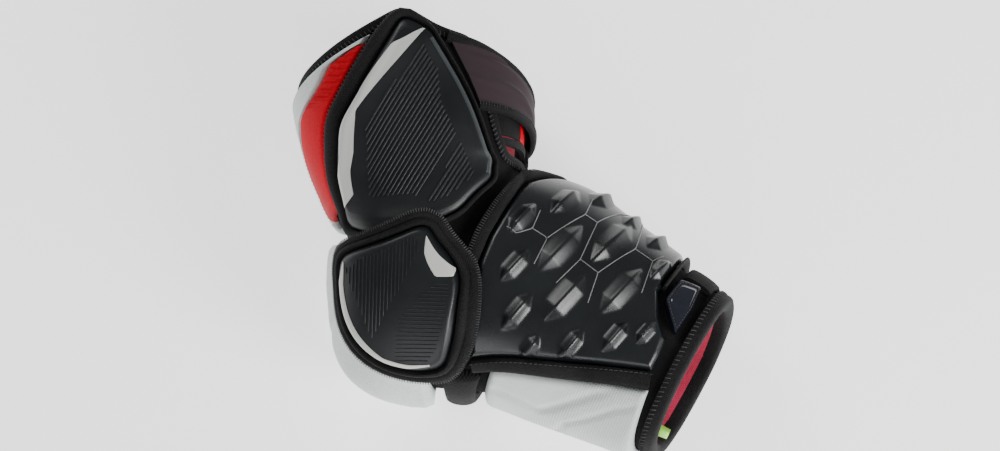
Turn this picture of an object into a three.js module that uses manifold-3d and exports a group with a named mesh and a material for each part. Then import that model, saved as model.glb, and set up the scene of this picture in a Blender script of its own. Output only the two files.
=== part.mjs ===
// Elbow pad for ice hockey, lying on the side that faces the body, with its shields up.
// Millimetres, +Z up. The arm goes in at the upper rim, round the elbow bend and out at the wrist rim.
import * as THREE from 'three';
import Module from 'manifold-3d';

const wasm = await Module();
wasm.setup();

// Driving sizes of the arm's form, in millimetres and degrees.
const UPPER_LENGTH = 60;
const FOREARM_LENGTH = 130;
const BEND_RADIUS = 70;
const BEND_ANGLE = 53;
const UPPER_LEAN = 8.5;
const UPPER_WIDTH = 126;
const UPPER_DEPTH = 110;
const WRIST_WIDTH = 96;
const WRIST_DEPTH = 82;
const SQUARENESS = 2.35;
const PRESSED_FLAT = 3;
const WRIST_SLANT = 4.5;

// Thicknesses and clearances. Each layer is counted outwards from the sleeve's outer face.
const SLEEVE_WALL = 4.5;
const LINING_WALL = 1.5;
const CLEARANCE = 0.4;
const LINING_GAP = 0.5;
const HEM_GAP = 0.8;
const LAYER_GAP = 0.9;
const SHIELD_HEIGHT = 9;
const BINDING_HEIGHT = 7.2;
const SIDE_PANEL_HEIGHT = 5.2;
const CAP_HEIGHT = 9;
const CAP_BULGE = 4.5;
const WING_SEAT = 9.8;
const WING_HEIGHT = 16.2;
const WING_BINDING_HEIGHT = 14.4;
const GUARD_HEIGHT = 6.6;
const BUMP_HEIGHT = 4.2;
const BUMP_LEAN = 14;
const BUMP_SUNK = 2;
const BUMP_FOOT = 0.5;
const ULNA_HEIGHT = 6;
const INLAY_THICKNESS = 0.6;
const HEM_WIDTH = 6.5;
const WRIST_HEM_WIDTH = 9;
const WRIST_HEM_HEIGHT = 3;
const STRAP_SEAT = 1.1;
const STRAP_THICKNESS = 2;
const STRAP_HEM_WIDTH = 5;
const STRAP_PIPING_WIDTH = 2.4;
const ELBOW_STRAP_HEIGHT = 9;
const WRIST_STRAP_HEIGHT = 5;
const TAB_HEIGHT = 7;
const PULL_TAB_THICKNESS = 2.2;

const HEM_ROLL = 1.8;
const HEM_TUCK = 1.4;
const HEM_RISE = 0.1;
const STRAP_HEM_RISE = 1;
const STRAP_PIPING_RISE = 0.6;
const INNER_STRAP_THICKNESS = 2;
const INNER_HEM_THICKNESS = 3;

// How finely outlines are divided, in millimetres.
const OUTLINE_STEP = 12;

// About how many millimetres a degree around and a station along measure, where outlines are drawn.
const CHART_AROUND = 1.1;
const CHART_ALONG = 100;

const rows = (columns, values) =>
  values.map((row) => Object.fromEntries(columns.map((column, i) => [column, row[i]])));

// The arm's section at stations along it: 0 is the upper rim's level, 1 to 2 the elbow bend, 3 the wrist.
// Inner and outer are shares of the width either side of the middle line, over and under of the depth.
const SECTIONS = rows(['along', 'inner', 'outer', 'over', 'under'], [
  [-0.5, 0.495, 0.500, 0.49, 0.50],
  [0.0, 0.505, 0.515, 0.49, 0.50],
  [0.5, 0.525, 0.515, 0.50, 0.50],
  [1.0, 0.500, 0.484, 0.50, 0.50],
  [1.25, 0.490, 0.455, 0.51, 0.50],
  [1.5, 0.480, 0.600, 0.53, 0.50],
  [1.75, 0.480, 0.790, 0.54, 0.50],
  [2.0, 0.540, 0.740, 0.55, 0.50],
  [2.25, 0.610, 0.625, 0.55, 0.50],
  [2.5, 0.580, 0.590, 0.53, 0.50],
  [3.0, 0.500, 0.510, 0.50, 0.50],
  [3.3, 0.470, 0.490, 0.50, 0.50],
]);

// The upper rim: how far along the arm its edge lies, around the arm in degrees from the inner bend.
const RIM = rows(['around', 'along'], [
  [30, 0.02], [56, -0.10], [74, -0.25], [84, -0.40], [91, -0.455], [98, -0.41], [110, -0.33],
  [122, -0.25], [138, -0.15], [160, -0.05], [185, 0], [270, 0.02], [345, 0], [375, 0],
]);

// The slit over the inner bend that the arm is slipped in through: its two edges, in degrees around.
const SLIT = rows(['along', 'near', 'far'], [
  [-0.12, 56, 346], [0.3, 52, 347], [0.7, 47.5, 348], [0.95, 42, 349], [1.08, 34, 356], [1.14, 25, 365],
]);

const SHIELD = rows(['along', 'around', 'edge'], [
  [-0.31, 88, 5.5], [-0.17, 78, 2.2], [0.25, 70, 2.2], [0.69, 62, 2.2], [1.19, 54, 2.6], [1.49, 58, 3],
  [1.60, 84, 3], [1.46, 120, 3], [1.27, 147, 6], [1.09, 140, 9], [0.57, 128, 9.5], [0.37, 118, 10],
  [-0.13, 98, 9], [-0.29, 92, 6.5],
]);

const WING = rows(['along', 'around', 'edge'], [
  [1.53, 101, 9], [1.79, 101, 9], [1.93, 105, 11], [1.99, 113, 13], [2.03, 123, 13], [2.05, 131, 12],
  [2.06, 142, 8], [1.98, 147, 6], [1.83, 149, 5.5], [1.61, 148, 7], [1.46, 146, 7], [1.43, 141, 7],
  [1.46, 128, 7], [1.50, 112, 8],
]);

const FLASH = rows(['along', 'around'], [
  [1.585, 103.5], [1.66, 107], [1.80, 110], [1.90, 108.5], [1.885, 105.5],
]);

const CAP = rows(['along', 'around'], [
  [1.32, 163], [1.47, 137], [1.65, 106], [1.76, 106], [1.90, 128], [1.99, 146], [2.04, 170],
  [2.05, 200], [2.0, 222], [1.6, 228], [1.3, 218], [1.24, 190],
]);

// The left edge of the red side panel, and the rear edge of the white panel beside it.
const SIDE = rows(['along', 'left', 'rear'], [
  [-0.12, 114, 205], [-0.05, 122, 205], [0.01, 130, 205], [0.13, 135, 206], [0.23, 142, 207],
  [0.37, 159, 208], [0.65, 174, 210], [0.81, 183, 212], [1.03, 183, 213], [1.13, 187, 214],
]);

// The forearm guard: its edges towards the elbow and the wrist, from the far side to the near.
const GUARD = rows(['elbow', 'elbowAround', 'wrist', 'wristAround'], [
  [2.20, -32, 2.76, -32], [2.17, -8, 2.75, -6], [2.13, 18, 2.74, 20], [2.05, 33, 2.74, 42],
  [1.97, 50, 2.73, 64], [1.955, 66, 2.79, 78], [1.965, 84, 2.86, 88], [2.03, 110, 2.87, 98],
  [2.15, 140, 2.87, 108],
]);

// The raised lozenges of the guard: middle, and length and width in millimetres.
const BUMPS = rows(['along', 'around', 'long', 'wide'], [
  [2.07, 68, 22, 11], [2.19, 48, 25, 12], [2.31, 28, 24, 13], [2.14, 92, 24, 11],
  [2.275, 73, 35, 15], [2.45, 54, 36, 15], [2.47, 27, 22, 12], [2.61, 30, 22, 12],
  [2.24, 111, 24, 11], [2.39, 94, 34, 15], [2.59, 76, 34, 14], [2.69, 52, 17, 10],
  [2.36, 124, 15, 9], [2.51, 114, 20, 10], [2.66, 100, 21, 10], [2.77, 90, 16, 8],
]);

// The strap over the slit of the upper arm: its two edges from the shield round to the far side.
const STRAP = rows(['upper', 'upperAround', 'lower', 'lowerAround'], [
  [-0.06, 60, 0.56, 55], [0.02, 54, 0.60, 44], [0.19, 37, 0.65, 30], [0.34, 20, 0.70, 14],
  [0.42, 3, 0.74, -3], [0.46, -16, 0.76, -20], [0.48, -42, 0.76, -42],
]);

const FAR_EDGE = 232;
const ULNA_START = 2.24;
const ULNA_BAND_WIDTH = { elbow: 8, wrist: 10 };
const GUARD_EDGE_WIDTH = { elbow: 8.5, far: 4, wrist: 2.2 };
const GUARD_EDGE_END = 60;
const PANEL_GAP = 1.1;
const TRICEPS_TOP = -0.195;
const RIM_MARGIN = 0.012;
const INNER_STRAP = { from: 0.62, to: 0.85, hem: 0.94 };
const SLIT_BAND_GAP = 0.4;
const TAB = rows(['along', 'around'], [
  [2.77, 66], [2.785, 48], [2.88, 44], [2.895, 62], [2.885, 82], [2.87, 80],
]);
const ELBOW_STRAP = { start: 151, upper: 2.075, rear: 2.09, lower: 2.215 };
const WRIST_STRAP = { from: 2.78, to: 2.89, start: 41, end: -34 };
const PULL_TAB = { from: 2.86, to: 3.0, start: 150, end: 163 };

const degrees = (value) => value * Math.PI / 180;
const mix = (a, b, share) => a + (b - a) * share;
const smooth = (share) => {
  const held = Math.min(Math.max(share, 0), 1);
  return held * held * (3 - 2 * held);
};

// A smooth value between the rows of a table.
function follow(table, by, column, at) {
  const last = table.length - 1;
  let i = 0;
  while (i < last - 1 && at > table[i + 1][by]) i += 1;
  const slope = (a, b) => (table[b][column] - table[a][column]) / (table[b][by] - table[a][by]);
  const tangent = (k) => {
    if (k === 0) return slope(0, 1);
    if (k === last) return slope(last - 1, last);
    const before = table[k][by] - table[k - 1][by];
    const after = table[k + 1][by] - table[k][by];
    return (slope(k - 1, k) * after + slope(k, k + 1) * before) / (before + after);
  };
  const span = table[i + 1][by] - table[i][by];
  const t = (at - table[i][by]) / span;
  return (2 * t ** 3 - 3 * t ** 2 + 1) * table[i][column] + (t ** 3 - 2 * t ** 2 + t) * span * tangent(i)
    + (3 * t ** 2 - 2 * t ** 3) * table[i + 1][column] + (t ** 3 - t ** 2) * span * tangent(i + 1);
}

// A straight value between the rows of a table, held past its ends.
function between(table, by, column, at) {
  const last = table.length - 1;
  let i = 0;
  while (i < last - 1 && at > table[i + 1][by]) i += 1;
  const share = (at - table[i][by]) / (table[i + 1][by] - table[i][by]);
  return mix(table[i][column], table[i + 1][column], Math.min(Math.max(share, 0), 1));
}

// The arm's middle line in plan, with the way it heads. The two straight lengths meet at the origin.
function middle(along) {
  const first = degrees(UPPER_LEAN - 90);
  const second = first + degrees(BEND_ANGLE);
  const tangent = BEND_RADIUS * Math.tan(degrees(BEND_ANGLE) / 2);
  if (along <= 1) {
    const back = tangent + UPPER_LENGTH * (1 - along);
    return { x: -Math.cos(first) * back, y: -Math.sin(first) * back, heading: first };
  }
  if (along >= 2) {
    const out = tangent + FOREARM_LENGTH * (along - 2);
    return { x: Math.cos(second) * out, y: Math.sin(second) * out, heading: second };
  }
  const heading = mix(first, second, along - 1);
  const centreX = -Math.cos(first) * tangent - Math.sin(first) * BEND_RADIUS;
  const centreY = -Math.sin(first) * tangent + Math.cos(first) * BEND_RADIUS;
  return {
    x: centreX + BEND_RADIUS * Math.sin(heading),
    y: centreY - BEND_RADIUS * Math.cos(heading),
    heading,
  };
}

// A point of the sleeve's outer face. Around is 0 at the inner bend, 90 on top, 180 at the elbow's point.
function face(spot) {
  const { x, y, heading } = middle(spot.along);
  const share = smooth(spot.along / 3);
  const width = mix(UPPER_WIDTH, WRIST_WIDTH, share);
  const depth = mix(UPPER_DEPTH, WRIST_DEPTH, share);
  const section = (column) => follow(SECTIONS, 'along', column, spot.along);
  const cosine = Math.cos(degrees(spot.around));
  const sine = Math.sin(degrees(spot.around));
  const reach = (Math.abs(cosine) ** SQUARENESS + Math.abs(sine) ** SQUARENESS) ** (-1 / SQUARENESS);
  const sideways = section(cosine > 0 ? 'inner' : 'outer') * width * cosine * reach;
  const upright = section(sine > 0 ? 'over' : 'under') * depth * sine * reach;
  const height = Math.max(section('under') * depth - PRESSED_FLAT + upright, 0);
  return new THREE.Vector3(x - Math.sin(heading) * sideways, y + Math.cos(heading) * sideways, height);
}

// The two directions of the face at a spot, per station and per degree, and the way out of it.
function frameAt(spot) {
  const stations = 0.02;
  const turn = 2;
  const alongWay = face({ along: spot.along + stations, around: spot.around })
    .sub(face({ along: spot.along - stations, around: spot.around })).divideScalar(2 * stations);
  const aroundWay = face({ along: spot.along, around: spot.around + turn })
    .sub(face({ along: spot.along, around: spot.around - turn })).divideScalar(2 * turn);
  const out = new THREE.Vector3().crossVectors(aroundWay, alongWay).normalize();
  return { alongWay, aroundWay, out };
}

// A point at a height over the sleeve's outer face. Nothing but a cutter goes below the ground.
function lifted(spot, height, ground = 0) {
  const point = face(spot).addScaledVector(frameAt(spot).out, height);
  point.z = Math.max(point.z, ground);
  return point;
}

// The spot of the face that lies nearest to a point, searched for from another spot.
function nearest(point, start) {
  const found = { ...start };
  for (let turn = 0; turn < 4; turn += 1) {
    const { alongWay, aroundWay } = frameAt(found);
    const rest = point.clone().sub(face(found));
    found.along += rest.dot(alongWay) / alongWay.lengthSq();
    found.around += rest.dot(aroundWay) / aroundWay.lengthSq();
  }
  return found;
}

// A line of spots moved sideways over the face, to the left of its way seen from outside, in millimetres.
function beside(line, distance, loop = false) {
  const count = line.length;
  const width = (spot) => (typeof distance === 'function' ? distance(spot) : distance);
  return line.map((spot, i) => {
    const { out } = frameAt(spot);
    const here = face(spot);
    const ways = [];
    if (loop || i > 0) ways.push(here.clone().sub(face(line[(i + count - 1) % count])));
    if (loop || i < count - 1) ways.push(face(line[(i + 1) % count]).sub(here));
    const sides = ways.map((way) => new THREE.Vector3().crossVectors(out, way.normalize()).normalize());
    const side = sides.reduce((sum, each) => sum.add(each), new THREE.Vector3()).normalize();
    const mitre = 1 / Math.max(side.dot(sides[sides.length - 1] ?? side), side.dot(sides[0]), 0.6);
    return nearest(here.addScaledVector(side, width(spot) * mitre), spot);
  });
}

// Where a line of spots crosses a given value, read from another column.
function crossing(line, by, value, column, pick, loop = false) {
  const found = [];
  const count = loop ? line.length : line.length - 1;
  for (let i = 0; i < count; i += 1) {
    const a = line[i];
    const b = line[(i + 1) % line.length];
    if ((a[by] - value) * (b[by] - value) <= 0 && a[by] !== b[by]) {
      found.push(mix(a[column], b[column], (value - a[by]) / (b[by] - a[by])));
    }
  }
  return found.length ? pick(...found) : undefined;
}

// A closed outline with rounded corners, divided evenly. Going round it, the outside is on the left.
function outline(corners, rounding, step = OUTLINE_STEP) {
  const flat = ({ along, around }) => new THREE.Vector2(around * CHART_AROUND, along * CHART_ALONG);
  const chart = corners.map(flat);
  const area = THREE.ShapeUtils.area(chart);
  const table = area > 0 ? [...corners].reverse() : corners;
  const points = area > 0 ? [...chart].reverse() : chart;
  const count = points.length;
  const path = new THREE.Path();
  const lengths = [0];
  points.forEach((corner, i) => {
    const before = points[(i + count - 1) % count];
    const after = points[(i + 1) % count];
    const cutIn = Math.min(rounding, corner.distanceTo(before) / 2.05);
    const cutOut = Math.min(rounding, corner.distanceTo(after) / 2.05);
    const start = corner.clone().lerp(before, cutIn / corner.distanceTo(before));
    const end = corner.clone().lerp(after, cutOut / corner.distanceTo(after));
    if (i === 0) path.moveTo(start.x, start.y);
    else path.lineTo(start.x, start.y);
    path.quadraticCurveTo(corner.x, corner.y, end.x, end.y);
    lengths.push(lengths[i] + corner.distanceTo(after));
  });
  path.closePath();
  const divisions = Math.max(Math.ceil(path.getLength() / step), count);
  const total = lengths[count];
  const edges = [...table, table[0]].map((row, i) => ({ at: lengths[i] / total, edge: row.edge ?? 0 }));
  return path.getSpacedPoints(divisions).slice(0, divisions).map((point, i) => ({
    along: point.y / CHART_ALONG,
    around: point.x / CHART_AROUND,
    edge: between(edges, 'at', 'edge', i / divisions),
  }));
}

// A closed body between two grids of points, each a list of rows.
// A looped grid joins its last column to its first.
function slab(top, bottom, loop = false) {
  const last = top.length - 1;
  const wide = top[0].length;
  const columns = loop ? wide : wide - 1;
  const triangles = [];
  const quad = (a, b, c, d) => triangles.push([a, b, c], [a, c, d]);
  for (let j = 0; j < columns; j += 1) {
    const k = (j + 1) % wide;
    for (let i = 0; i < last; i += 1) {
      quad(top[i][j], top[i][k], top[i + 1][k], top[i + 1][j]);
      quad(bottom[i][j], bottom[i + 1][j], bottom[i + 1][k], bottom[i][k]);
    }
    quad(top[0][k], top[0][j], bottom[0][j], bottom[0][k]);
    quad(top[last][j], top[last][k], bottom[last][k], bottom[last][j]);
  }
  if (!loop) {
    for (let i = 0; i < last; i += 1) {
      quad(top[i][0], top[i + 1][0], bottom[i + 1][0], bottom[i][0]);
      quad(top[i + 1][wide - 1], top[i][wide - 1], bottom[i][wide - 1], bottom[i + 1][wide - 1]);
    }
  }
  return closed(triangles);
}

// Triangles with shared corners joined and empty ones dropped, turned so that they face outwards.
function closed(triangles) {
  const points = [];
  const index = new Map();
  const place = (point) => {
    const key = [point.x, point.y, point.z].map((value) => Math.round(value * 1e4)).join(' ');
    if (!index.has(key)) {
      index.set(key, points.length);
      points.push(point);
    }
    return index.get(key);
  };
  const faces = triangles.map((corners) => corners.map(place))
    .filter(([a, b, c]) => a !== b && b !== c && c !== a);
  const volume = faces.reduce((sum, [a, b, c]) =>
    sum + points[a].dot(new THREE.Vector3().crossVectors(points[b], points[c])), 0);
  if (volume < 0) faces.forEach((corners) => corners.reverse());
  const geometry = new THREE.BufferGeometry();
  const values = points.flatMap((point) => [point.x, point.y, point.z]);
  geometry.setAttribute('position', new THREE.Float32BufferAttribute(values, 3));
  geometry.setIndex(faces.flat());
  geometry.computeVertexNormals();
  return geometry;
}

const level = (spots, height) =>
  spots.map((spot) => lifted(spot, typeof height === 'function' ? height(spot) : height));

// A plate inside an outline. Its profile gives the top's height at shares of the way out from its middle.
function plate(edge, under, profile) {
  const centre = {
    along: edge.reduce((sum, spot) => sum + spot.along, 0) / edge.length,
    around: edge.reduce((sum, spot) => sum + spot.around, 0) / edge.length,
  };
  const ring = (share) => edge.map((spot) => ({
    along: mix(centre.along, spot.along, share),
    around: mix(centre.around, spot.around, share),
  }));
  const top = profile.map(({ share, height }) => level(ring(share), height));
  const bottom = profile.map(({ share }) => level(ring(share), under));
  return slab(top, bottom, true);
}

// A bound edge round an outline: a band from one side of it to the other with a rounded top.
function bound(line, { loop = false, start = CLEARANCE, width, under, profile, bottoms }) {
  const across = profile.map(({ share }) =>
    beside(line, (spot) => start + (width ?? spot.edge) * share, loop));
  const top = across.map((spots, i) => level(spots, profile[i].height));
  const bottom = across.map((spots, i) => level(spots, bottoms ? bottoms[i] : under));
  return slab(top, bottom, loop);
}

// Lines of spots from one line to another of as many spots, close together at the edges and even between.
function ruled(first, second, cells, edge = 0.06) {
  const across = [0, ...steps(edge, 1 - edge, cells), 1];
  return across.map((share) => first.map((spot, i) => ({
    along: mix(spot.along, second[i].along, share),
    around: mix(spot.around, second[i].around, share),
  })));
}

// A padded strip over lines of spots, with its edges rounded down to a lip.
function strip(lines, { under, height, lip = (height - under) * 0.45 }) {
  const ends = lines[0].length - 1;
  const top = lines.map((line, i) => line.map((spot, j) => {
    const rim = i === 0 || j === 0 || i === lines.length - 1 || j === ends;
    return lifted(spot, rim ? under + lip : (typeof height === 'function' ? height(spot) : height));
  }));
  return slab(top, lines.map((line) => level(line, under)));
}

// Even stations from one value to another.
const steps = (from, to, count) => Array.from({ length: count + 1 }, (_, i) => mix(from, to, i / count));

// The sleeve's free edge: up the near side of the slit, round the rim and down the far side.
const slitEdge = (side, stations) =>
  stations.map((along) => ({ along, around: between(SLIT, 'along', side, along) }));
const slitStations = [0, 0.2, 0.45, 0.7, 0.85, 0.95, 1.08, 1.14];
const rimTop = (around) => follow(RIM, 'around', 'along', around);
const rimStations = [
  56, 65, 74, 81, 87, 92, 98, 104, 112, 122, 134, 146, 160, 175, 190, 205, 220, 235, 250, 264, 277, 290,
  305, 320, 334, 346,
];
const nearLeg = slitEdge('near', slitStations).reverse();
const farLeg = slitEdge('far', slitStations);
const rimLine = rimStations.map((around) => ({ along: rimTop(around), around }));
const slitBottom = steps(farLeg[farLeg.length - 1].around - 360, nearLeg[0].around, 3).slice(1, -1)
  .map((around) => ({ along: nearLeg[0].along, around }));
const freeEdge = [...nearLeg, ...rimLine, ...farLeg, ...slitBottom];
const hemLine = beside(freeEdge, HEM_WIDTH + HEM_GAP, true);
const hemNear = hemLine.slice(0, nearLeg.length + 1);
const hemRim = hemLine.slice(nearLeg.length, nearLeg.length + rimLine.length);
const hemFar = hemLine.slice(nearLeg.length + rimLine.length - 1, freeEdge.length - slitBottom.length)
  .reverse();
const wristEdge = (around) => 3 + WRIST_SLANT / FOREARM_LENGTH * (1 - Math.sin(degrees(around)));
const wristLine = (stations) => stations.map((around) => ({ along: wristEdge(around), around }));
const hemWrist = beside(wristLine(steps(-60, 360, 42)), -(WRIST_HEM_WIDTH + HEM_GAP));
const topAt = (around) => between(hemRim, 'around', 'along', around);
const endAt = (around) => between(hemWrist, 'around', 'along', around);

// What is cut away from the sleeve and its lining: the slit with its hem, and all that is past the rim's hem.
const CUT_OVER = 3;
const CUT_PAST = 1.2;
const cutter = (lines, high, low, loop = false) => {
  const points = (height) => lines.map((line) => line.map((spot) => lifted(spot, height, -CUT_OVER)));
  return toManifold(slab(points(high), points(low), loop));
};

function slitCutter(high, low) {
  const edges = hemNear.map((near, i) => ({ near, far: { ...hemFar[i], around: hemFar[i].around - 360 } }));
  const bottom = [edges[0].far, ...hemLine.slice(-slitBottom.length), edges[0].near];
  const top = edges[edges.length - 1];
  const past = (spot) => ({ along: spot.along - 0.4, around: spot.around });
  const lines = [...edges, { near: past(top.near), far: past(top.far) }].map(({ near, far }, i) =>
    steps(0, 1, 6).map((share) => {
      const around = mix(near.around, far.around, share);
      const along = i === 0 ? between(bottom, 'around', 'along', around) : mix(near.along, far.along, share);
      return { along, around };
    }));
  return cutter(lines, high, low);
}

function rimCutter(high, low) {
  const corner = hemRim[hemRim.length - 1];
  const gap = hemRim[0].around + 360 - corner.around;
  const overSlit = [0.25, 0.5, 0.75].map((share) => ({ along: -0.05, around: corner.around + gap * share }));
  const edge = [...hemRim, ...overSlit];
  const lines = steps(0, 1, 3).map((share) =>
    edge.map((spot) => ({ ...spot, along: mix(spot.along, -CUT_PAST, share) })));
  return cutter(lines, high, low, true);
}

// The grid of spots that the sleeve and its lining share: rows along the arm, columns around it.
const tubeRows = [-0.6, -0.2, 0.2, 0.6, 1, ...steps(1.14, 2.34, 9), 2.5, 2.75];
const tubeColumns = steps(0, 360, 24).slice(0, -1);
const tubeGrid = [
  ...tubeRows.map((along) => tubeColumns.map((around) => ({ along, around }))),
  tubeColumns.map((around) => ({ along: endAt(around), around })),
];

function tube(outside, inside) {
  const grid = (height) => tubeGrid.map((row) => level(row, height));
  const whole = slab(grid(outside), grid(inside), true);
  const reach = [outside + CUT_OVER, inside - CUT_OVER];
  return fromManifold(toManifold(whole).subtract(slitCutter(...reach)).subtract(rimCutter(...reach)));
}

const liningOutside = -SLEEVE_WALL - LINING_GAP;
const innerFace = liningOutside - LINING_WALL;

const makeSleeve = () => tube(0, -SLEEVE_WALL);
const makeLining = () => tube(liningOutside, innerFace);

// A rolled hem past the edge of the sleeve, as thick as the sleeve and lining together.
const hemProfile = (height) => ({
  profile: [
    { share: 0, height: height - HEM_ROLL },
    { share: 0.35, height },
    { share: 1, height },
  ],
  bottoms: [innerFace + HEM_TUCK, innerFace, innerFace],
});

function makeSleeveHem() {
  return bound(freeEdge, { loop: true, start: 0, width: HEM_WIDTH, ...hemProfile(HEM_RISE) });
}

function makeWristHem() {
  const line = wristLine(steps(0, 360, 34).slice(0, -1)).reverse();
  return bound(line, { loop: true, start: 0, width: WRIST_HEM_WIDTH, ...hemProfile(WRIST_HEM_HEIGHT) });
}

// The bicep shield: a moulded plate with a bevelled edge, and the bound edge round it.
const shieldEdge = outline(SHIELD, 7);
const shieldProfile = [
  { share: 1, height: SHIELD_HEIGHT * 0.6 },
  { share: 0.94, height: SHIELD_HEIGHT * 0.92 },
  { share: 0.86, height: SHIELD_HEIGHT },
  { share: 0.6, height: SHIELD_HEIGHT },
  { share: 0.3, height: SHIELD_HEIGHT },
  { share: 0, height: SHIELD_HEIGHT },
];
const bindingProfile = (low, high) => [
  { share: 0, height: mix(low, high, 0.8) },
  { share: 0.45, height: high },
  { share: 1, height: mix(low, high, 0.4) },
];
const shieldClear = beside(shieldEdge, (spot) => 3 * CLEARANCE + spot.edge, true);

const makeShield = () => plate(shieldEdge, LAYER_GAP, shieldProfile);
const makeShieldBinding = () =>
  bound(shieldEdge, { loop: true, under: LAYER_GAP, profile: bindingProfile(LAYER_GAP, BINDING_HEIGHT) });

// A thin inlay that keeps to a stretch of a plate's edge, between two shares of the way out from its middle.
function edgeInlay(edge, { from, to, shares, seat }) {
  const centre = {
    along: edge.reduce((sum, spot) => sum + spot.along, 0) / edge.length,
    around: edge.reduce((sum, spot) => sum + spot.around, 0) / edge.length,
  };
  const stretch = edge.filter((spot) => from(spot) && to(spot));
  const lines = steps(shares.inner, shares.outer, 2).map((share) => stretch.map((spot, i) => {
    const taper = Math.min(i, stretch.length - 1 - i) === 0 ? 0.35 : 1;
    const at = mix(shares.outer, share, taper);
    return { along: mix(centre.along, spot.along, at), around: mix(centre.around, spot.around, at) };
  }));
  const under = seat + CLEARANCE;
  const grid = (height) => lines.map((line) => level(line, height));
  return slab(grid(under + INLAY_THICKNESS), grid(under));
}

const makeChevron = () => edgeInlay(shieldEdge, {
  from: (spot) => spot.around > 92,
  to: (spot) => spot.along < 1.14,
  shares: { inner: 0.68, outer: 0.85 },
  seat: SHIELD_HEIGHT,
});

// The soft side of the upper arm: a red panel beside the shield, then a white one round the back.
const sideStations = [-0.12, -0.05, 0.01, 0.07, 0.13, 0.23, 0.30, 0.37, 0.5, 0.65, 0.81, 0.92, 1.03, 1.13];
const sideEnd = sideStations[sideStations.length - 1];
const shieldLeft = (along) => crossing(shieldClear, 'along', along, 'around', Math.max, true);
const sideLeft = (along) => {
  const least = shieldLeft(along) + 0.6;
  return along < sideStations[0] ? least : Math.max(between(SIDE, 'along', 'left', along), least);
};
const sideRear = (along) => between(SIDE, 'along', 'rear', along);

function makeSidePanel() {
  const right = sideStations.map((along) => ({ along, around: shieldLeft(along) }));
  const left = sideStations.map((along) => ({ along, around: sideLeft(along) }));
  return strip(ruled(right, left, 4, 0.1), { under: LAYER_GAP, height: SIDE_PANEL_HEIGHT });
}

function makeTricepsPanel() {
  const top = TRICEPS_TOP;
  const stations = [top, -0.17, ...sideStations, sideEnd + 0.04];
  const last = stations.length - 1;
  const right = stations.map((along) => ({ along, around: sideLeft(along) + PANEL_GAP }));
  const rear = stations.map((along, i) => {
    const even = mix(top, stations[last], i / last);
    return { along: even, around: sideRear(along) };
  });
  const lines = ruled(right, rear, 7, 0.05);
  return strip(lines.map((line) => {
    const drop = topAt(line[0].around) + RIM_MARGIN - line[0].along;
    return line.map((spot, i) => ({ ...spot, along: spot.along + drop * (1 - i / last) ** 2 }));
  }), { under: LAYER_GAP, height: SIDE_PANEL_HEIGHT });
}

// The elbow cap: a soft white cup over the elbow's point, lower where the wing lies on it.
function makeCap() {
  const edge = outline(CAP, 14);
  const bulge = (spot) => CAP_BULGE * smooth((spot.around - 163) / 22);
  return plate(edge, LAYER_GAP + 0.5, [
    { share: 1, height: CAP_HEIGHT * 0.35 },
    { share: 0.93, height: CAP_HEIGHT * 0.75 },
    { share: 0.8, height: (spot) => CAP_HEIGHT + bulge(spot) * 0.7 },
    { share: 0.55, height: (spot) => CAP_HEIGHT + bulge(spot) },
    { share: 0.28, height: (spot) => CAP_HEIGHT + bulge(spot) },
    { share: 0, height: (spot) => CAP_HEIGHT + bulge(spot) },
  ]);
}

// The wing: the smaller shield at the elbow. It lies over the lower end of the bicep shield and on the cap.
const wingEdge = outline(WING, 7, 9);
const wingRise = WING_HEIGHT - WING_SEAT;
const makeWing = () => plate(wingEdge, WING_SEAT, [
  { share: 1, height: WING_SEAT + wingRise * 0.45 },
  { share: 0.92, height: WING_SEAT + wingRise * 0.9 },
  { share: 0.82, height: WING_HEIGHT },
  { share: 0.5, height: WING_HEIGHT },
  { share: 0.25, height: WING_HEIGHT },
  { share: 0, height: WING_HEIGHT },
]);
const makeWingBinding = () =>
  bound(wingEdge, { loop: true, under: WING_SEAT, profile: bindingProfile(WING_SEAT, WING_BINDING_HEIGHT) });
const makeCrescent = () => edgeInlay(wingEdge, {
  from: (spot) => spot.around > 126,
  to: (spot) => spot.along < 2.0,
  shares: { inner: 0.74, outer: 0.81 },
  seat: WING_HEIGHT,
});
const makeFlash = () => plate(outline(FLASH, 1.5, 5), WING_HEIGHT + CLEARANCE, [
  { share: 1, height: WING_HEIGHT + CLEARANCE + INLAY_THICKNESS },
  { share: 0, height: WING_HEIGHT + CLEARANCE + INLAY_THICKNESS },
]);

// The forearm guard: one moulded sheet with raised lozenges, wrapped round to the far side.
const GUARD_STEPS = 15;
const guardRows = (count) => steps(0, GUARD.length - 1, count).map((at) => {
  const table = GUARD.map((row, i) => ({ ...row, i }));
  const read = (column) => between(table, 'i', column, at);
  return {
    elbow: { along: read('elbow'), around: read('elbowAround') },
    wrist: { along: read('wrist'), around: read('wristAround') },
  };
});

function makeBump(bump) {
  const { aroundWay, out } = frameAt(bump);
  const middleOf = face(bump);
  const across = aroundWay.clone().negate().normalize().applyAxisAngle(out, -degrees(BUMP_LEAN));
  const lengthwise = new THREE.Vector3().crossVectors(across, out).normalize();
  const spotAt = (x, y) => {
    const point = middleOf.clone().addScaledVector(across, x * bump.long / 2);
    return nearest(point.addScaledVector(lengthwise, y * bump.wide / 2), bump);
  };
  const hexagon = [[1, 0], [0.45, 1], [-0.55, 0.9], [-1, 0], [-0.45, -1], [0.55, -0.9]];
  const ring = (share, height) => level(hexagon.map(([x, y]) => spotAt(x * share, y * share)), height);
  const sunk = GUARD_HEIGHT - BUMP_SUNK;
  const peak = ring(0, GUARD_HEIGHT + BUMP_HEIGHT);
  const top = [ring(1.04, GUARD_HEIGHT - BUMP_FOOT), ring(0.62, GUARD_HEIGHT + BUMP_HEIGHT * 0.75), peak];
  const bottom = [ring(1.04, sunk), ring(0.62, sunk), ring(0, sunk)];
  return slab(top, bottom, true);
}

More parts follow.
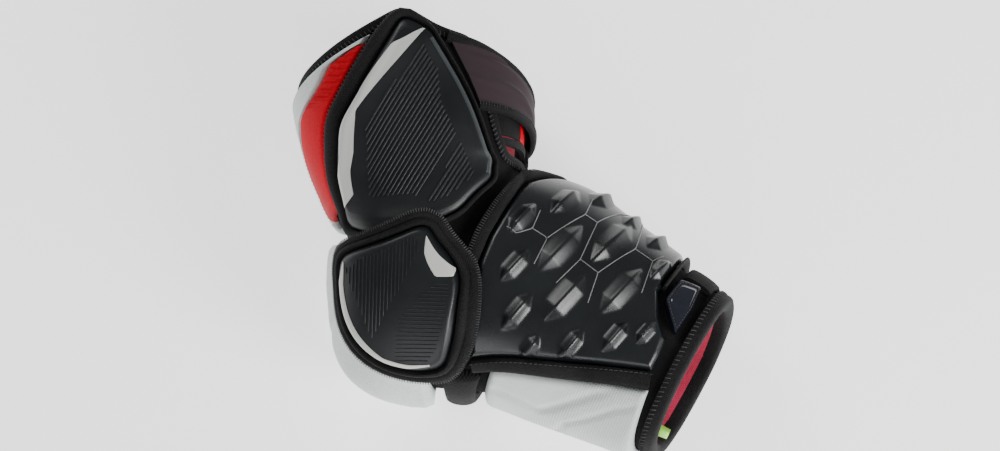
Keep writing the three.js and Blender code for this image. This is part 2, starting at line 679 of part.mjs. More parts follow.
function toManifold(geometry) {
  return new wasm.Manifold(new wasm.Mesh({
    numProp: 3,
    vertProperties: new Float32Array(geometry.attributes.position.array),
    triVerts: new Uint32Array(geometry.index.array),
  }));
}

function fromManifold(solid) {
  const mesh = solid.getMesh();
  const geometry = new THREE.BufferGeometry();
  geometry.setAttribute('position', new THREE.BufferAttribute(mesh.vertProperties, 3));
  geometry.setIndex(new THREE.BufferAttribute(mesh.triVerts, 1));
  geometry.computeVertexNormals();
  return geometry;
}

function makeGuard() {
  const edges = guardRows(GUARD_STEPS);
  const sheet = strip(ruled(edges.map((row) => row.elbow), edges.map((row) => row.wrist), 6, 0.05), {
    under: LAYER_GAP,
    height: GUARD_HEIGHT,
  });
  const raised = (solid, bump) => solid.add(toManifold(makeBump(bump)));
  return fromManifold(BUMPS.reduce(raised, toManifold(sheet)));
}

const guardElbow = guardRows(GUARD_STEPS).map((row) => row.elbow);
const guardWrist = guardRows(GUARD_STEPS).map((row) => row.wrist);

// The guard's bound edge is broad on the near side and narrows from 40 degrees round to the far side.
const guardEdgeWidth = (spot) =>
  mix(GUARD_EDGE_WIDTH.elbow, GUARD_EDGE_WIDTH.far, smooth((40 - spot.around) / 40));

// Bound edges of the guard: round the elbow side, the far end and the wrist side, then a broad band below.
function makeGuardBinding() {
  const [farElbow, farWrist] = [guardElbow[0], guardWrist[0]];
  const elbowSide = [...guardElbow].reverse().map((spot) => ({ ...spot, edge: guardEdgeWidth(spot) }));
  const farEnd = steps(0, 1, 6).slice(1, -1).map((share) => ({
    along: mix(farElbow.along, farWrist.along, share),
    around: farElbow.around,
    edge: GUARD_EDGE_WIDTH.far,
  }));
  const wristSide = guardWrist.filter((spot) => spot.around < GUARD_EDGE_END)
    .map((spot) => ({ ...spot, edge: GUARD_EDGE_WIDTH.wrist }));
  const line = [...elbowSide, ...farEnd, ...wristSide];
  return bound(line, { under: LAYER_GAP, profile: bindingProfile(LAYER_GAP, BINDING_HEIGHT) });
}

const ulnaLine = steps(1, 0, 12).map((share) => {
  const from = guardElbow[guardElbow.length - 1];
  const to = guardWrist[guardWrist.length - 1];
  return {
    along: mix(from.along, to.along, share),
    around: mix(from.around, to.around, share),
    edge: mix(ULNA_BAND_WIDTH.elbow, ULNA_BAND_WIDTH.wrist, share),
  };
});
const ulnaSide = beside(ulnaLine, (spot) => 2 * CLEARANCE + spot.edge);

const makeUlnaBand = () =>
  bound(ulnaLine, { under: LAYER_GAP, profile: bindingProfile(LAYER_GAP, BINDING_HEIGHT) });

function makeUlnaPanel() {
  const upper = ulnaSide.filter((spot) => spot.along > ULNA_START);
  const last = upper.length - 1;
  const lower = upper.map((spot, i) => ({
    along: mix(endAt(FAR_EDGE) - RIM_MARGIN, ULNA_START + 0.02, i / last),
    around: mix(FAR_EDGE, FAR_EDGE - 8, i / last),
  }));
  return strip(ruled(upper, lower, 7, 0.05), { under: LAYER_GAP, height: ULNA_HEIGHT });
}

// The strap that comes out from under the wing and goes round below the elbow.
function makeElbowStrap() {
  const stations = steps(ELBOW_STRAP.start, FAR_EDGE + 6, 12);
  const capSide = stations.map((around) => ({
    along: mix(ELBOW_STRAP.upper, ELBOW_STRAP.rear, smooth((around - ELBOW_STRAP.start) / 30)),
    around,
  }));
  const wristSide = stations.map((around) => ({ along: ELBOW_STRAP.lower, around }));
  return strip(ruled(capSide, wristSide, 2, 0.15), { under: LAYER_GAP, height: ELBOW_STRAP_HEIGHT });
}

// The strap over the slit of the upper arm, with a hem at its lower edge and a thin piping at its upper one.
const strapEdges = steps(0, STRAP.length - 1, 12).map((at) => {
  const table = STRAP.map((row, i) => ({ ...row, i }));
  const read = (column) => between(table, 'i', column, at);
  return {
    upper: { along: read('upper'), around: read('upperAround') },
    lower: { along: read('lower'), around: read('lowerAround') },
  };
});
const strapUpper = strapEdges.map((row) => row.upper);
const strapLower = strapEdges.map((row) => row.lower);
const strapTop = STRAP_SEAT + STRAP_THICKNESS;

const makeStrap = () => strip(ruled(strapUpper, strapLower, 2, 0.12), {
  under: STRAP_SEAT, height: strapTop, lip: STRAP_THICKNESS * 0.7,
});
const hemRound = (sign, top) => [
  { share: 0, height: mix(STRAP_SEAT, top, 0.8) },
  { share: sign * 0.35, height: top },
  { share: sign, height: mix(STRAP_SEAT, top, 0.4) },
];
const makeStrapHem = () => bound(strapLower, {
  start: -CLEARANCE,
  width: STRAP_HEM_WIDTH,
  under: STRAP_SEAT,
  profile: hemRound(-1, strapTop + STRAP_HEM_RISE),
});
const makeStrapPiping = () => bound(strapUpper, {
  start: CLEARANCE,
  width: STRAP_PIPING_WIDTH,
  under: STRAP_SEAT,
  profile: hemRound(1, strapTop + STRAP_PIPING_RISE),
});

// The red inner strap that closes the slit below the outer one, and its black hem.
function slitBand(from, to, thickness) {
  const stations = steps(from, to, 3);
  const across = steps(0, 1, 8);
  const edge = (side, along) => between(SLIT, 'along', side, along);
  const spots = across.map((share) => stations.map((along) => {
    const from = edge('near', along) - SLIT_BAND_GAP;
    const to = edge('far', along) - 360 + SLIT_BAND_GAP;
    return { along, around: mix(from, to, share) };
  }));
  const grid = (height) => spots.map((line) => level(line, height));
  return slab(grid(thickness - SLEEVE_WALL), grid(-SLEEVE_WALL));
}

const makeInnerStrap = () => slitBand(INNER_STRAP.from, INNER_STRAP.to, INNER_STRAP_THICKNESS);
const makeInnerStrapHem = () => slitBand(INNER_STRAP.to + 0.02, INNER_STRAP.hem, INNER_HEM_THICKNESS);

// What closes the wrist: a glossy tab at the guard's corner and a flat strap round to the far side.
const makeWristTab = () => plate(outline(TAB, 1.5, 6), LAYER_GAP, [
  { share: 1, height: TAB_HEIGHT * 0.75 },
  { share: 0.85, height: TAB_HEIGHT },
  { share: 0, height: TAB_HEIGHT },
]);

function makeWristStrap() {
  const stations = steps(WRIST_STRAP.start, WRIST_STRAP.end, 12);
  const near = stations.map((around) => ({ along: WRIST_STRAP.from + 0.015, around }));
  const far = stations.map((around) => ({ along: endAt(around) - RIM_MARGIN, around }));
  return strip(ruled(near, far, 2, 0.12), { under: LAYER_GAP, height: WRIST_STRAP_HEIGHT });
}

function makePullTab() {
  const stations = steps(PULL_TAB.start, PULL_TAB.end, 3);
  const top = innerFace - 2 * CLEARANCE;
  const lines = steps(PULL_TAB.from, PULL_TAB.to, 3)
    .map((along) => stations.map((around) => ({ along, around })));
  const grid = (height) => lines.map((line) => level(line, height));
  return slab(grid(top), grid(top - PULL_TAB_THICKNESS));
}

const finish = (color, roughness) =>
  new THREE.MeshStandardMaterial({ color, roughness, metalness: 0, flatShading: true });
const FABRIC = finish(0x17181a, 0.85);
const BINDING = finish(0x101113, 0.9);
const MOULDED = finish(0x1c1f22, 0.42);
const SILVER = finish(0xc6c8c4, 0.35);
const WHITE = finish(0xcfd5d3, 0.6);
const RED = finish(0xd80f16, 0.6);
const LINING_RED = finish(0xb51a3c, 0.85);
const STRAP_MESH = finish(0x2a1c20, 0.8);
const GLOSSY = finish(0x10131c, 0.15);
const LIME = finish(0xa6ea5c, 0.6);

const pieces = [
  ['lining', makeLining, LINING_RED],
  ['sleeve', makeSleeve, FABRIC],
  ['sleeve_hem', makeSleeveHem, BINDING],
  ['bicep_shield', makeShield, MOULDED],
  ['bicep_shield_binding', makeShieldBinding, BINDING],
  ['bicep_chevron', makeChevron, SILVER],
  ['side_panel', makeSidePanel, RED],
  ['triceps_panel', makeTricepsPanel, WHITE],
  ['bicep_strap', makeStrap, STRAP_MESH],
  ['bicep_strap_hem', makeStrapHem, BINDING],
  ['bicep_strap_piping', makeStrapPiping, BINDING],
  ['inner_strap', makeInnerStrap, RED],
  ['inner_strap_hem', makeInnerStrapHem, BINDING],
  ['elbow_cap', makeCap, WHITE],
  ['elbow_wing', makeWing, MOULDED],
  ['elbow_wing_binding', makeWingBinding, BINDING],
  ['wing_flash', makeFlash, SILVER],
  ['wing_crescent', makeCrescent, SILVER],
  ['elbow_strap', makeElbowStrap, FABRIC],
  ['forearm_guard', makeGuard, MOULDED],
  ['forearm_guard_binding', makeGuardBinding, BINDING],
  ['ulna_band', makeUlnaBand, BINDING],
  ['ulna_panel', makeUlnaPanel, WHITE],
  ['wrist_hem', makeWristHem, BINDING],
  ['wrist_tab', makeWristTab, GLOSSY],
  ['wrist_strap', makeWristStrap, FABRIC],
  ['pull_tab', makePullTab, LIME],
];

const pad = new THREE.Group();
for (const [name, make, material] of pieces) {
  const mesh = new THREE.Mesh(make(), material);
  mesh.name = name;
  pad.add(mesh);
}

// The origin is on the ground under the middle of the pad.
const extent = new THREE.Box3().setFromObject(pad);
pad.position.set(-(extent.min.x + extent.max.x) / 2, -(extent.min.y + extent.max.y) / 2, 0);

export default pad;
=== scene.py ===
"""Looks of an ice-hockey elbow pad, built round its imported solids.

Places on the pad are spots of the sleeve's outer face: how far along the arm (0 is the upper rim, 1 to 2 the
elbow bend, 3 the wrist) and how far around it in degrees (0 inner bend, 90 top, 180 elbow's point). Every piece
lies at a height over that face. Sizes are millimetres until a mesh is made.
"""

import logging
import math
from dataclasses import dataclass, field
from enum import Enum
from typing import Callable, Optional, Sequence, Union

import bmesh
import bpy
import numpy as np
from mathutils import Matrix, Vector


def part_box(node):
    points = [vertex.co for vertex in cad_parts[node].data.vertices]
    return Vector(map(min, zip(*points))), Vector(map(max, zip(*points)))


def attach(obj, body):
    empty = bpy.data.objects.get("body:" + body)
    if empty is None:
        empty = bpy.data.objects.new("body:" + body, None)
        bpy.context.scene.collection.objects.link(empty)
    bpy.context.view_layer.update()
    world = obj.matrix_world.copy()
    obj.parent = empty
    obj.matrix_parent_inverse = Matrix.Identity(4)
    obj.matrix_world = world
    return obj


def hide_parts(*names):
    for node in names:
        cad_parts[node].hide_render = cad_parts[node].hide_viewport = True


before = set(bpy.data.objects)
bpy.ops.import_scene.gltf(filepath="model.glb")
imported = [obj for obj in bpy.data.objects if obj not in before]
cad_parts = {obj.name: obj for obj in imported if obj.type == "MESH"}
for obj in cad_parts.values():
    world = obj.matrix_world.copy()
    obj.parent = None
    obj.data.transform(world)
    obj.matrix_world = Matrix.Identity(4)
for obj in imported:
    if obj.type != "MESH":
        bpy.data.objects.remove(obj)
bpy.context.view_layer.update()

LOG = logging.getLogger("elbow_pad")
MM = 0.001
BODY = "root"
CHART = np.array([100.0, 1.1])
MERGED = 2e-6
FILM_PROUD = 0.45
FILM_SUNK = 0.3
Heights = Union[float, np.ndarray, Callable[[np.ndarray], np.ndarray]]


def table(*rows: Sequence[float]) -> np.ndarray:
    """Rows of numbers as an array."""
    return np.array(rows, float)


def smooth(share: np.ndarray) -> np.ndarray:
    """A share from 0 to 1 with a soft start and end."""
    held = np.clip(share, 0.0, 1.0)
    return held * held * (3.0 - 2.0 * held)


def unit(ways: np.ndarray) -> np.ndarray:
    """The same directions with a length of one."""
    return ways / np.maximum(np.linalg.norm(ways, axis=-1, keepdims=True), 1e-9)


def spot_list(along: np.ndarray, around: np.ndarray) -> np.ndarray:
    """Spots from their two coordinates, either of which may be one number."""
    along, around = np.broadcast_arrays(np.asarray(along, float), np.asarray(around, float))
    return np.stack([along, around], axis=-1)


def read(rows: np.ndarray, column: int, at: np.ndarray) -> np.ndarray:
    """A straight value between the rows of a table, by its first column."""
    return np.interp(at, rows[:, 0], rows[:, column])


def follow(rows: np.ndarray, column: int, at: np.ndarray) -> np.ndarray:
    """A smooth value between the rows of a table.

    Args:
        rows: the table, in the order of its first column.
        column: the column to read.
        at: where to read it.

    Returns:
        The values there.
    """
    xs, ys = rows[:, 0], rows[:, column]
    slopes = np.gradient(ys, xs)
    i = np.clip(np.searchsorted(xs, at, side="right") - 1, 0, len(xs) - 2)
    span = xs[i + 1] - xs[i]
    t = (at - xs[i]) / span
    start = (2 * t**3 - 3 * t**2 + 1) * ys[i] + (t**3 - 2 * t**2 + t) * span * slopes[i]
    return start + (3 * t**2 - 2 * t**3) * ys[i + 1] + (t**3 - t**2) * span * slopes[i + 1]


def between_rows(rows: np.ndarray, count: int) -> list[np.ndarray]:
    """The two lines of spots that a table's rows give, each read at as many even steps."""
    at = np.linspace(0.0, len(rows) - 1, count)
    index = np.arange(len(rows))
    return [spot_list(np.interp(at, index, rows[:, c]), np.interp(at, index, rows[:, c + 1])) for c in (0, 2)]


class Layer(Enum):
    """Heights over the sleeve's outer face, in millimetres."""

    INNER = -6.5
    LINING = -5.0
    SLEEVE = -4.5
    SEAT = 0.9
    STRAP = 1.1
    SIDE_PANEL = 5.2
    ULNA = 6.0
    GUARD = 6.6
    BINDING = 7.2
    SHIELD = 9.0
    WING_SEAT = 9.8
    WING_BINDING = 14.4
    WING = 16.2


SECTIONS = table(
    (-0.5, 0.495, 0.500, 0.49, 0.50),
    (0.0, 0.505, 0.515, 0.49, 0.50),
    (0.5, 0.525, 0.515, 0.50, 0.50),
    (1.0, 0.500, 0.484, 0.50, 0.50),
    (1.25, 0.490, 0.455, 0.51, 0.50),
    (1.5, 0.480, 0.600, 0.53, 0.50),
    (1.75, 0.480, 0.790, 0.54, 0.50),
    (2.0, 0.540, 0.740, 0.55, 0.50),
    (2.25, 0.610, 0.625, 0.55, 0.50),
    (2.5, 0.580, 0.590, 0.53, 0.50),
    (3.0, 0.500, 0.510, 0.50, 0.50),
    (3.3, 0.470, 0.490, 0.50, 0.50),
)


@dataclass
class Arm:
    """The form of the sleeve's outer face, with the sizes that the solids have."""

    upper_length: float = 60.0
    forearm_length: float = 130.0
    bend_radius: float = 70.0
    bend_angle: float = 53.0
    upper_lean: float = 8.5
    upper_width: float = 126.0
    upper_depth: float = 110.0
    wrist_width: float = 96.0
    wrist_depth: float = 82.0
    squareness: float = 2.35
    pressed_flat: float = 3.0
    wrist_slant: float = 4.5
    shift: np.ndarray = field(default_factory=lambda: np.zeros(3))

    def middle(self, along: np.ndarray) -> tuple[np.ndarray, np.ndarray, np.ndarray]:
        """The arm's middle line in plan.

        Args:
            along: stations along the arm.

        Returns:
            Its x, its y and the way it heads, in radians.
        """
        first = math.radians(self.upper_lean - 90.0)
        bend = math.radians(self.bend_angle)
        tangent = self.bend_radius * math.tan(bend / 2)
        heading = first + bend * np.clip(along - 1.0, 0.0, 1.0)
        back = tangent + self.upper_length * (1.0 - along)
        out = tangent + self.forearm_length * (along - 2.0)
        centre_x = -math.cos(first) * tangent - math.sin(first) * self.bend_radius
        centre_y = -math.sin(first) * tangent + math.cos(first) * self.bend_radius
        x = np.where(along <= 1, -math.cos(first) * back, centre_x + self.bend_radius * np.sin(heading))
        y = np.where(along <= 1, -math.sin(first) * back, centre_y - self.bend_radius * np.cos(heading))
        x = np.where(along >= 2, math.cos(first + bend) * out, x)
        y = np.where(along >= 2, math.sin(first + bend) * out, y)
        return x, y, heading

    def face(self, spots: np.ndarray) -> np.ndarray:
        """Points of the sleeve's outer face at spots."""
        along, around = spots[..., 0], np.radians(spots[..., 1])
        x, y, heading = self.middle(along)
        share = smooth(along / 3.0)
        width = self.upper_width + (self.wrist_width - self.upper_width) * share
        depth = self.upper_depth + (self.wrist_depth - self.upper_depth) * share
        cosine, sine = np.cos(around), np.sin(around)
        power = self.squareness
        reach = (np.abs(cosine) ** power + np.abs(sine) ** power) ** (-1.0 / power)
        inner, outer, over, under = (follow(SECTIONS, column, along) for column in (1, 2, 3, 4))
        sideways = np.where(cosine > 0, inner, outer) * width * cosine * reach
        height = under * depth - self.pressed_flat + np.where(sine > 0, over, under) * depth * sine * reach
        flat = np.maximum(height, 0.0)
        return np.stack([x - np.sin(heading) * sideways, y + np.cos(heading) * sideways, flat], -1) + self.shift

    def ways(self, spots: np.ndarray) -> tuple[np.ndarray, np.ndarray, np.ndarray]:
        """Directions at spots.

        Args:
            spots: where to read them.

        Returns:
            The way along per station, the way around per degree, and the unit way out.
        """
        station, turn = np.array([0.02, 0.0]), np.array([0.0, 2.0])
        along = (self.face(spots + station) - self.face(spots - station)) / (2 * station[0])
        around = (self.face(spots + turn) - self.face(spots - turn)) / (2 * turn[1])
        return along, around, unit(np.cross(around, along))

    def lift(self, spots: np.ndarray, height: Heights) -> np.ndarray:
        """Points at a height over spots, never below the ground."""
        level = height(spots) if callable(height) else height
        points = self.face(spots) + self.ways(spots)[2] * np.asarray(level, float)[..., None]
        points[..., 2] = np.maximum(points[..., 2], 0.0)
        return points

    def nearest(self, points: np.ndarray, start: np.ndarray) -> np.ndarray:
        """The spots nearest to points, searched for from other spots."""
        found = np.array(start, float)
        for _ in range(4):
            along, around, _out = self.ways(found)
            rest = points - self.face(found)
            found[..., 0] += (rest * along).sum(-1) / (along * along).sum(-1)
            found[..., 1] += (rest * around).sum(-1) / (around * around).sum(-1)
        return found

    def below(self, plan: np.ndarray, start: np.ndarray, height: float) -> np.ndarray:
        """The spots whose lifted points lie at places of the plan.

        Args:
            plan: x and y of the places, in millimetres.
            start: spots to search from.
            height: how high the points are lifted.

        Returns:
            The spots found.
        """
        found = np.array(start, float)
        for _ in range(12):
            along, around, _out = self.ways(found)
            rest = plan - self.lift(found, height)[..., :2]
            turned = along[..., 0] * around[..., 1] - along[..., 1] * around[..., 0]
            stations = (rest[..., 0] * around[..., 1] - rest[..., 1] * around[..., 0]) / turned
            degrees = (along[..., 0] * rest[..., 1] - along[..., 1] * rest[..., 0]) / turned
            found[..., 0] += np.clip(stations, -0.2, 0.2)
            found[..., 1] += np.clip(degrees, -15.0, 15.0)
        return found

    def beside(self, line: np.ndarray, distance: Union[float, np.ndarray], loop: bool = False) -> np.ndarray:
        """A line moved sideways over the face.

        Args:
            line: its spots in order.
            distance: how far, in millimetres, to the left of its way seen from outside.
            loop: whether the line is closed.

        Returns:
            The spots of the moved line.
        """
        here = self.face(line)
        out = self.ways(line)[2]
        after = unit(np.roll(here, -1, 0) - here)
        before = np.roll(after, 1, 0)
        if not loop:
            after[-1] = after[-2]
            before[0] = after[0]
        sides = unit(np.cross(out, before)), unit(np.cross(out, after))
        side = unit(sides[0] + sides[1])
        mitre = 1.0 / np.maximum((side * sides[1]).sum(-1), 0.6)
        offset = side * (np.asarray(distance) * mitre)[..., None]
        return self.nearest(here + offset, line)

    def even(self, line: np.ndarray, step: float, loop: bool = False) -> np.ndarray:
        """The same line with its spots about a step apart."""
        path = np.concatenate([line, line[:1]]) if loop else line
        lengths = np.concatenate([[0.0], np.cumsum(np.linalg.norm(np.diff(self.face(path), axis=0), axis=1))])
        at = np.linspace(0.0, lengths[-1], max(int(lengths[-1] / step), 3) + 1)
        spots = spot_list(np.interp(at, lengths, path[:, 0]), np.interp(at, lengths, path[:, 1]))
        return spots[:-1] if loop else spots

    def wrist_edge(self, around: np.ndarray) -> np.ndarray:
        """How far along the slanted wrist edge lies."""
        return 3.0 + self.wrist_slant / self.forearm_length * (1.0 - np.sin(np.radians(around)))


def rounded(corners: np.ndarray, rounding: float, step: float = 3.0) -> np.ndarray:
    """A closed outline with rounded corners, divided evenly.

    Args:
        corners: spots, and after them any other columns, which are carried along.
        rounding: how far from a corner its round starts, in millimetres.
        step: the distance between the points, in millimetres.

    Returns:
        Rows like the corners'. Going round, the outside is on the left.
    """
    rows = corners.copy()
    rows[:, :2] *= CHART
    x, y = rows[:, 1], rows[:, 0]
    if np.sum(x * np.roll(y, -1) - np.roll(x, -1) * y) > 0:
        rows = rows[::-1]
    path = []
    for i, corner in enumerate(rows):
        before, after = rows[i - 1], rows[(i + 1) % len(rows)]
        gaps = [np.linalg.norm((other - corner)[:2]) for other in (before, after)]
        start = corner + (before - corner) * min(rounding / gaps[0], 0.48)
        end = corner + (after - corner) * min(rounding / gaps[1], 0.48)
        for t in np.linspace(0.0, 1.0, 7):
            path.append((1 - t) ** 2 * start + 2 * t * (1 - t) * corner + t**2 * end)
    path = np.array([*path, path[0]])
    lengths = np.concatenate([[0.0], np.cumsum(np.linalg.norm(np.diff(path[:, :2], axis=0), axis=1))])
    at = np.linspace(0.0, lengths[-1], int(lengths[-1] / step) + 1)[:-1]
    even = np.stack([np.interp(at, lengths, path[:, column]) for column in range(path.shape[1])], axis=1)
    even[:, :2] /= CHART
    return even


def softened(line: np.ndarray, passes: int) -> np.ndarray:
    """A closed line of evenly spaced spots with its corners rounded."""
    base = line[:, 1] - np.linspace(0.0, 360.0, len(line), endpoint=False)
    rows = np.stack([line[:, 0], base], axis=1)
    for _ in range(passes):
        rows = (np.roll(rows, 1, 0) + 2 * rows + np.roll(rows, -1, 0)) / 4
    return spot_list(rows[:, 0], rows[:, 1] + np.linspace(0.0, 360.0, len(line), endpoint=False))


def ruled(first: np.ndarray, second: np.ndarray, cells: int) -> np.ndarray:
    """Rows of spots from one line to another of as many spots."""
    shares = np.linspace(0.0, 1.0, cells + 1)[:, None, None]
    return first[None] * (1 - shares) + second[None] * shares


def make_object(name: str, points: np.ndarray, faces: np.ndarray, chart: Optional[np.ndarray] = None,
                sharp: float = 42.0) -> bpy.types.Object:
    """A closed mesh object from points and quads.

    Args:
        name: the piece's name.
        points: its points, in millimetres.
        faces: four indices to a face.
        chart: a place in the flat chart for each corner of each face, for the UV map.
        sharp: edges that turn more than this many degrees stay sharp.

    Returns:
        The object, with doubles merged and faces turned outwards.
    """
    mesh = bpy.data.meshes.new(name)
    mesh.vertices.add(len(points))
    mesh.vertices.foreach_set("co", (points * MM).astype(np.float32).ravel())
    mesh.loops.add(faces.size)
    mesh.loops.foreach_set("vertex_index", faces.astype(np.int32).ravel())
    mesh.polygons.add(len(faces))
    mesh.polygons.foreach_set("loop_start", np.arange(0, faces.size, 4, dtype=np.int32))
    mesh.update(calc_edges=True)
    if chart is not None:
        layer = mesh.uv_layers.new(name="UVMap")
        layer.data.foreach_set("uv", chart.astype(np.float32).ravel())
    tidy = bmesh.new()
    tidy.from_mesh(mesh)
    bmesh.ops.remove_doubles(tidy, verts=tidy.verts, dist=MERGED)
    bmesh.ops.dissolve_degenerate(tidy, edges=tidy.edges, dist=MERGED)
    bmesh.ops.recalc_face_normals(tidy, faces=tidy.faces)
    tidy.to_mesh(mesh)
    tidy.free()
    mesh.polygons.foreach_set("use_smooth", np.ones(len(mesh.polygons), bool))
    mesh.set_sharp_from_angle(angle=math.radians(sharp))
    piece = bpy.data.objects.new(name, mesh)
    bpy.context.scene.collection.objects.link(piece)
    return piece


def slab(name: str, top: np.ndarray, under: np.ndarray, spots: np.ndarray, loop: bool = False,
         sharp: float = 42.0) -> bpy.types.Object:
    """A closed body between two grids of points.

    Args:
        name: the piece's name.
        top: the upper grid.
        under: the lower grid.
        spots: the grid's spots, which give the UV map.
        loop: whether the last column joins the first.
        sharp: edges that turn more than this many degrees stay sharp.

    Returns:
        The object.
    """
    rows, columns = top.shape[:2]
    count = rows * columns
    i, j = np.meshgrid(np.arange(rows - 1), np.arange(columns if loop else columns - 1), indexing="ij")
    corners = [(i, j), (i, j + 1), (i + 1, j + 1), (i + 1, j)]
    upper = np.stack([(r * columns + c % columns).ravel() for r, c in corners], axis=1)
    turn = 360.0 if spots[0, 0, 1] != spots[0, -1, 1] else 0.0
    wrap = np.concatenate([spots, spots[:, :1] + np.array([0.0, turn])], 1)
    flat = (wrap * CHART)[..., ::-1]
    upper_chart = np.stack([flat[r, c].reshape(-1, 2) for r, c in corners], axis=1)
    faces, charts = [upper, upper[:, ::-1] + count], [upper_chart, upper_chart[:, ::-1]]
    for row, flip in ((0, True), (rows - 1, False)):
        c = np.arange(columns if loop else columns - 1)
        first, second = row * columns + c, row * columns + (c + 1) % columns
        side = np.stack([first, second, second + count, first + count], axis=1)
        uv = np.stack([flat[row, c], flat[row, c + 1], flat[row, c + 1], flat[row, c]], axis=1)
        faces.append(side[:, [1, 0, 3, 2]] if flip else side)
        charts.append(uv[:, [1, 0, 3, 2]] if flip else uv)
    if not loop:
        for column, flip in ((0, False), (columns - 1, True)):
            r = np.arange(rows - 1)
            first, second = r * columns + column, (r + 1) * columns + column
            side = np.stack([first, second, second + count, first + count], axis=1)
            uv = np.stack([flat[r, column], flat[r + 1, column], flat[r + 1, column], flat[r, column]], axis=1)
            faces.append(side if not flip else side[:, ::-1])
            charts.append(uv if not flip else uv[:, ::-1])
    points = np.concatenate([top.reshape(-1, 3), under.reshape(-1, 3)])
    return make_object(name, points, np.concatenate(faces), np.concatenate(charts), sharp)


def swept(name: str, rings: np.ndarray, loop: bool) -> bpy.types.Object:
    """A bead whose section runs along a line.

    Args:
        name: the piece's name.
        rings: points, with a row for each point of the section and a column for each place along the line.
        loop: whether the line is closed.

    Returns:
        The object.
    """
    rows, columns = rings.shape[:2]
    i, j = np.meshgrid(np.arange(rows), np.arange(columns if loop else columns - 1), indexing="ij")
    corners = [(i, j), (i, j + 1), (i + 1, j + 1), (i + 1, j)]
    faces = np.stack([((r % rows) * columns + c % columns).ravel() for r, c in corners], axis=1)
    lengths = np.linalg.norm(np.roll(rings, -1, 1) - rings, axis=-1).mean(0)
    run = np.concatenate([[0.0], np.cumsum(lengths)])
    girth = np.concatenate([[0.0], np.cumsum(np.linalg.norm(np.roll(rings, -1, 0) - rings, axis=-1).mean(1))])
    chart = np.stack([np.stack([girth[r].ravel(), run[c].ravel()], 1) for r, c in corners], axis=1)
    if not loop:
        half = rows // 2
        caps, cap_chart = [], []
        for column, flip in ((0, True), (columns - 1, False)):
            for k in range(half - 1 if rows % 2 == 0 else half):
                low, high = k, rows - 1 - k
                quad = [low, low + 1, high - 1, high] if high - 1 > low + 1 else [low, low + 1, high, high]
                quad = [q * columns + column for q in quad]
                caps.append(quad[::-1] if flip else quad)
                cap_chart.append([(girth[q // columns], run[column]) for q in caps[-1]])
        faces = np.concatenate([faces, np.array(caps)])
        chart = np.concatenate([chart, np.array(cap_chart)])
    return make_object(name, rings.reshape(-1, 3), faces, chart)


class Nodes:
    """A short way to lay nodes in a tree."""

    def __init__(self, tree: bpy.types.NodeTree) -> None:
        """Takes the tree to fill."""
        self.tree = tree

    def add(self, kind: str, inputs: Optional[dict] = None, **settings: object) -> bpy.types.Node:
        """Lays one node.

        Args:
            kind: Blender's name of the node.
            inputs: values or other nodes' sockets, by socket name or index.
            settings: the node's own settings.

        Returns:
            The node.
        """
        node = self.tree.nodes.new(kind)
        for name, value in settings.items():
            setattr(node, name, value)
        for key, value in (inputs or {}).items():
            if isinstance(value, bpy.types.NodeSocket):
                self.tree.links.new(value, node.inputs[key])
            else:
                node.inputs[key].default_value = value
        return node

    def math(self, operation: str, *values: object) -> bpy.types.NodeSocket:
        """The result of a maths node on numbers or sockets."""
        return self.add("ShaderNodeMath", dict(enumerate(values)), operation=operation).outputs[0]

    def ramp(self, factor: bpy.types.NodeSocket, low: float, high: float,
             start: float = 0.0, end: float = 1.0) -> bpy.types.NodeSocket:
        """A value mapped from one range to another, held past its ends."""
        inputs = {0: factor, 1: low, 2: high, 3: start, 4: end}
        return self.add("ShaderNodeMapRange", inputs).outputs[0]

    def blend(self, factor: bpy.types.NodeSocket, first: object, second: object) -> bpy.types.NodeSocket:
        """A colour between two others."""
        mix = self.add("ShaderNodeMix", {0: factor, 6: first, 7: second}, data_type="RGBA")
        return mix.outputs[2]


def rgba(colour: Sequence[float]) -> tuple[float, float, float, float]:
    """A colour with full alpha."""
    return (colour[0], colour[1], colour[2], 1.0)


@dataclass(frozen=True)
class Finish:
    """A surface of one material, with its colour, gloss and grain."""

    name: str
    slot: str
    colour: tuple[float, float, float]
    tint: tuple[float, float, float]
    roughness: float
    gloss: float = 0.5
    sheen: float = 0.0
    coat: float = 0.0
    grain: float = 900.0
    bump: float = 0.1

    def made(self) -> bpy.types.Material:
        """The finish's material, made once."""
        known = bpy.data.materials.get(self.name)
        if known:
            return known
        material = bpy.data.materials.new(self.name)
        material.use_nodes = True
        nodes = Nodes(material.node_tree)
        shader = material.node_tree.nodes["Principled BSDF"]
        shader.inputs["Roughness"].default_value = self.roughness
        shader.inputs["Specular IOR Level"].default_value = self.gloss
        shader.inputs["Sheen Weight"].default_value = self.sheen
        shader.inputs["Coat Weight"].default_value = self.coat
        self.dress(nodes, shader)
        return material

    def cloud(self, nodes: Nodes, size: float, detail: float = 3.0) -> bpy.types.NodeSocket:
        """Soft patches of about a size in metres, fixed to the piece."""
        place = nodes.add("ShaderNodeTexCoord").outputs["Object"]
        noise = nodes.add("ShaderNodeTexNoise", {"Vector": place, "Scale": 1.0 / size, "Detail": detail})
        return noise.outputs[0]

    def dress(self, nodes: Nodes, shader: bpy.types.Node) -> None:
        """Grain, soft patches of colour and uneven gloss."""
        patches = self.cloud(nodes, 0.03)
        grain = self.cloud(nodes, 1.0 / self.grain, 2.0)
        tone = nodes.ramp(nodes.math("ADD", patches, grain), 0.75, 1.25)
        nodes.tree.links.new(nodes.blend(tone, rgba(self.colour), rgba(self.tint)), shader.inputs["Base Color"])
        uneven = nodes.ramp(patches, 0.3, 0.7, self.roughness - 0.06, self.roughness + 0.08)
        nodes.tree.links.new(uneven, shader.inputs["Roughness"])
        bump = nodes.add("ShaderNodeBump", {"Strength": self.bump, "Distance": 0.0003, "Height": grain})
        nodes.tree.links.new(bump.outputs[0], shader.inputs["Normal"])


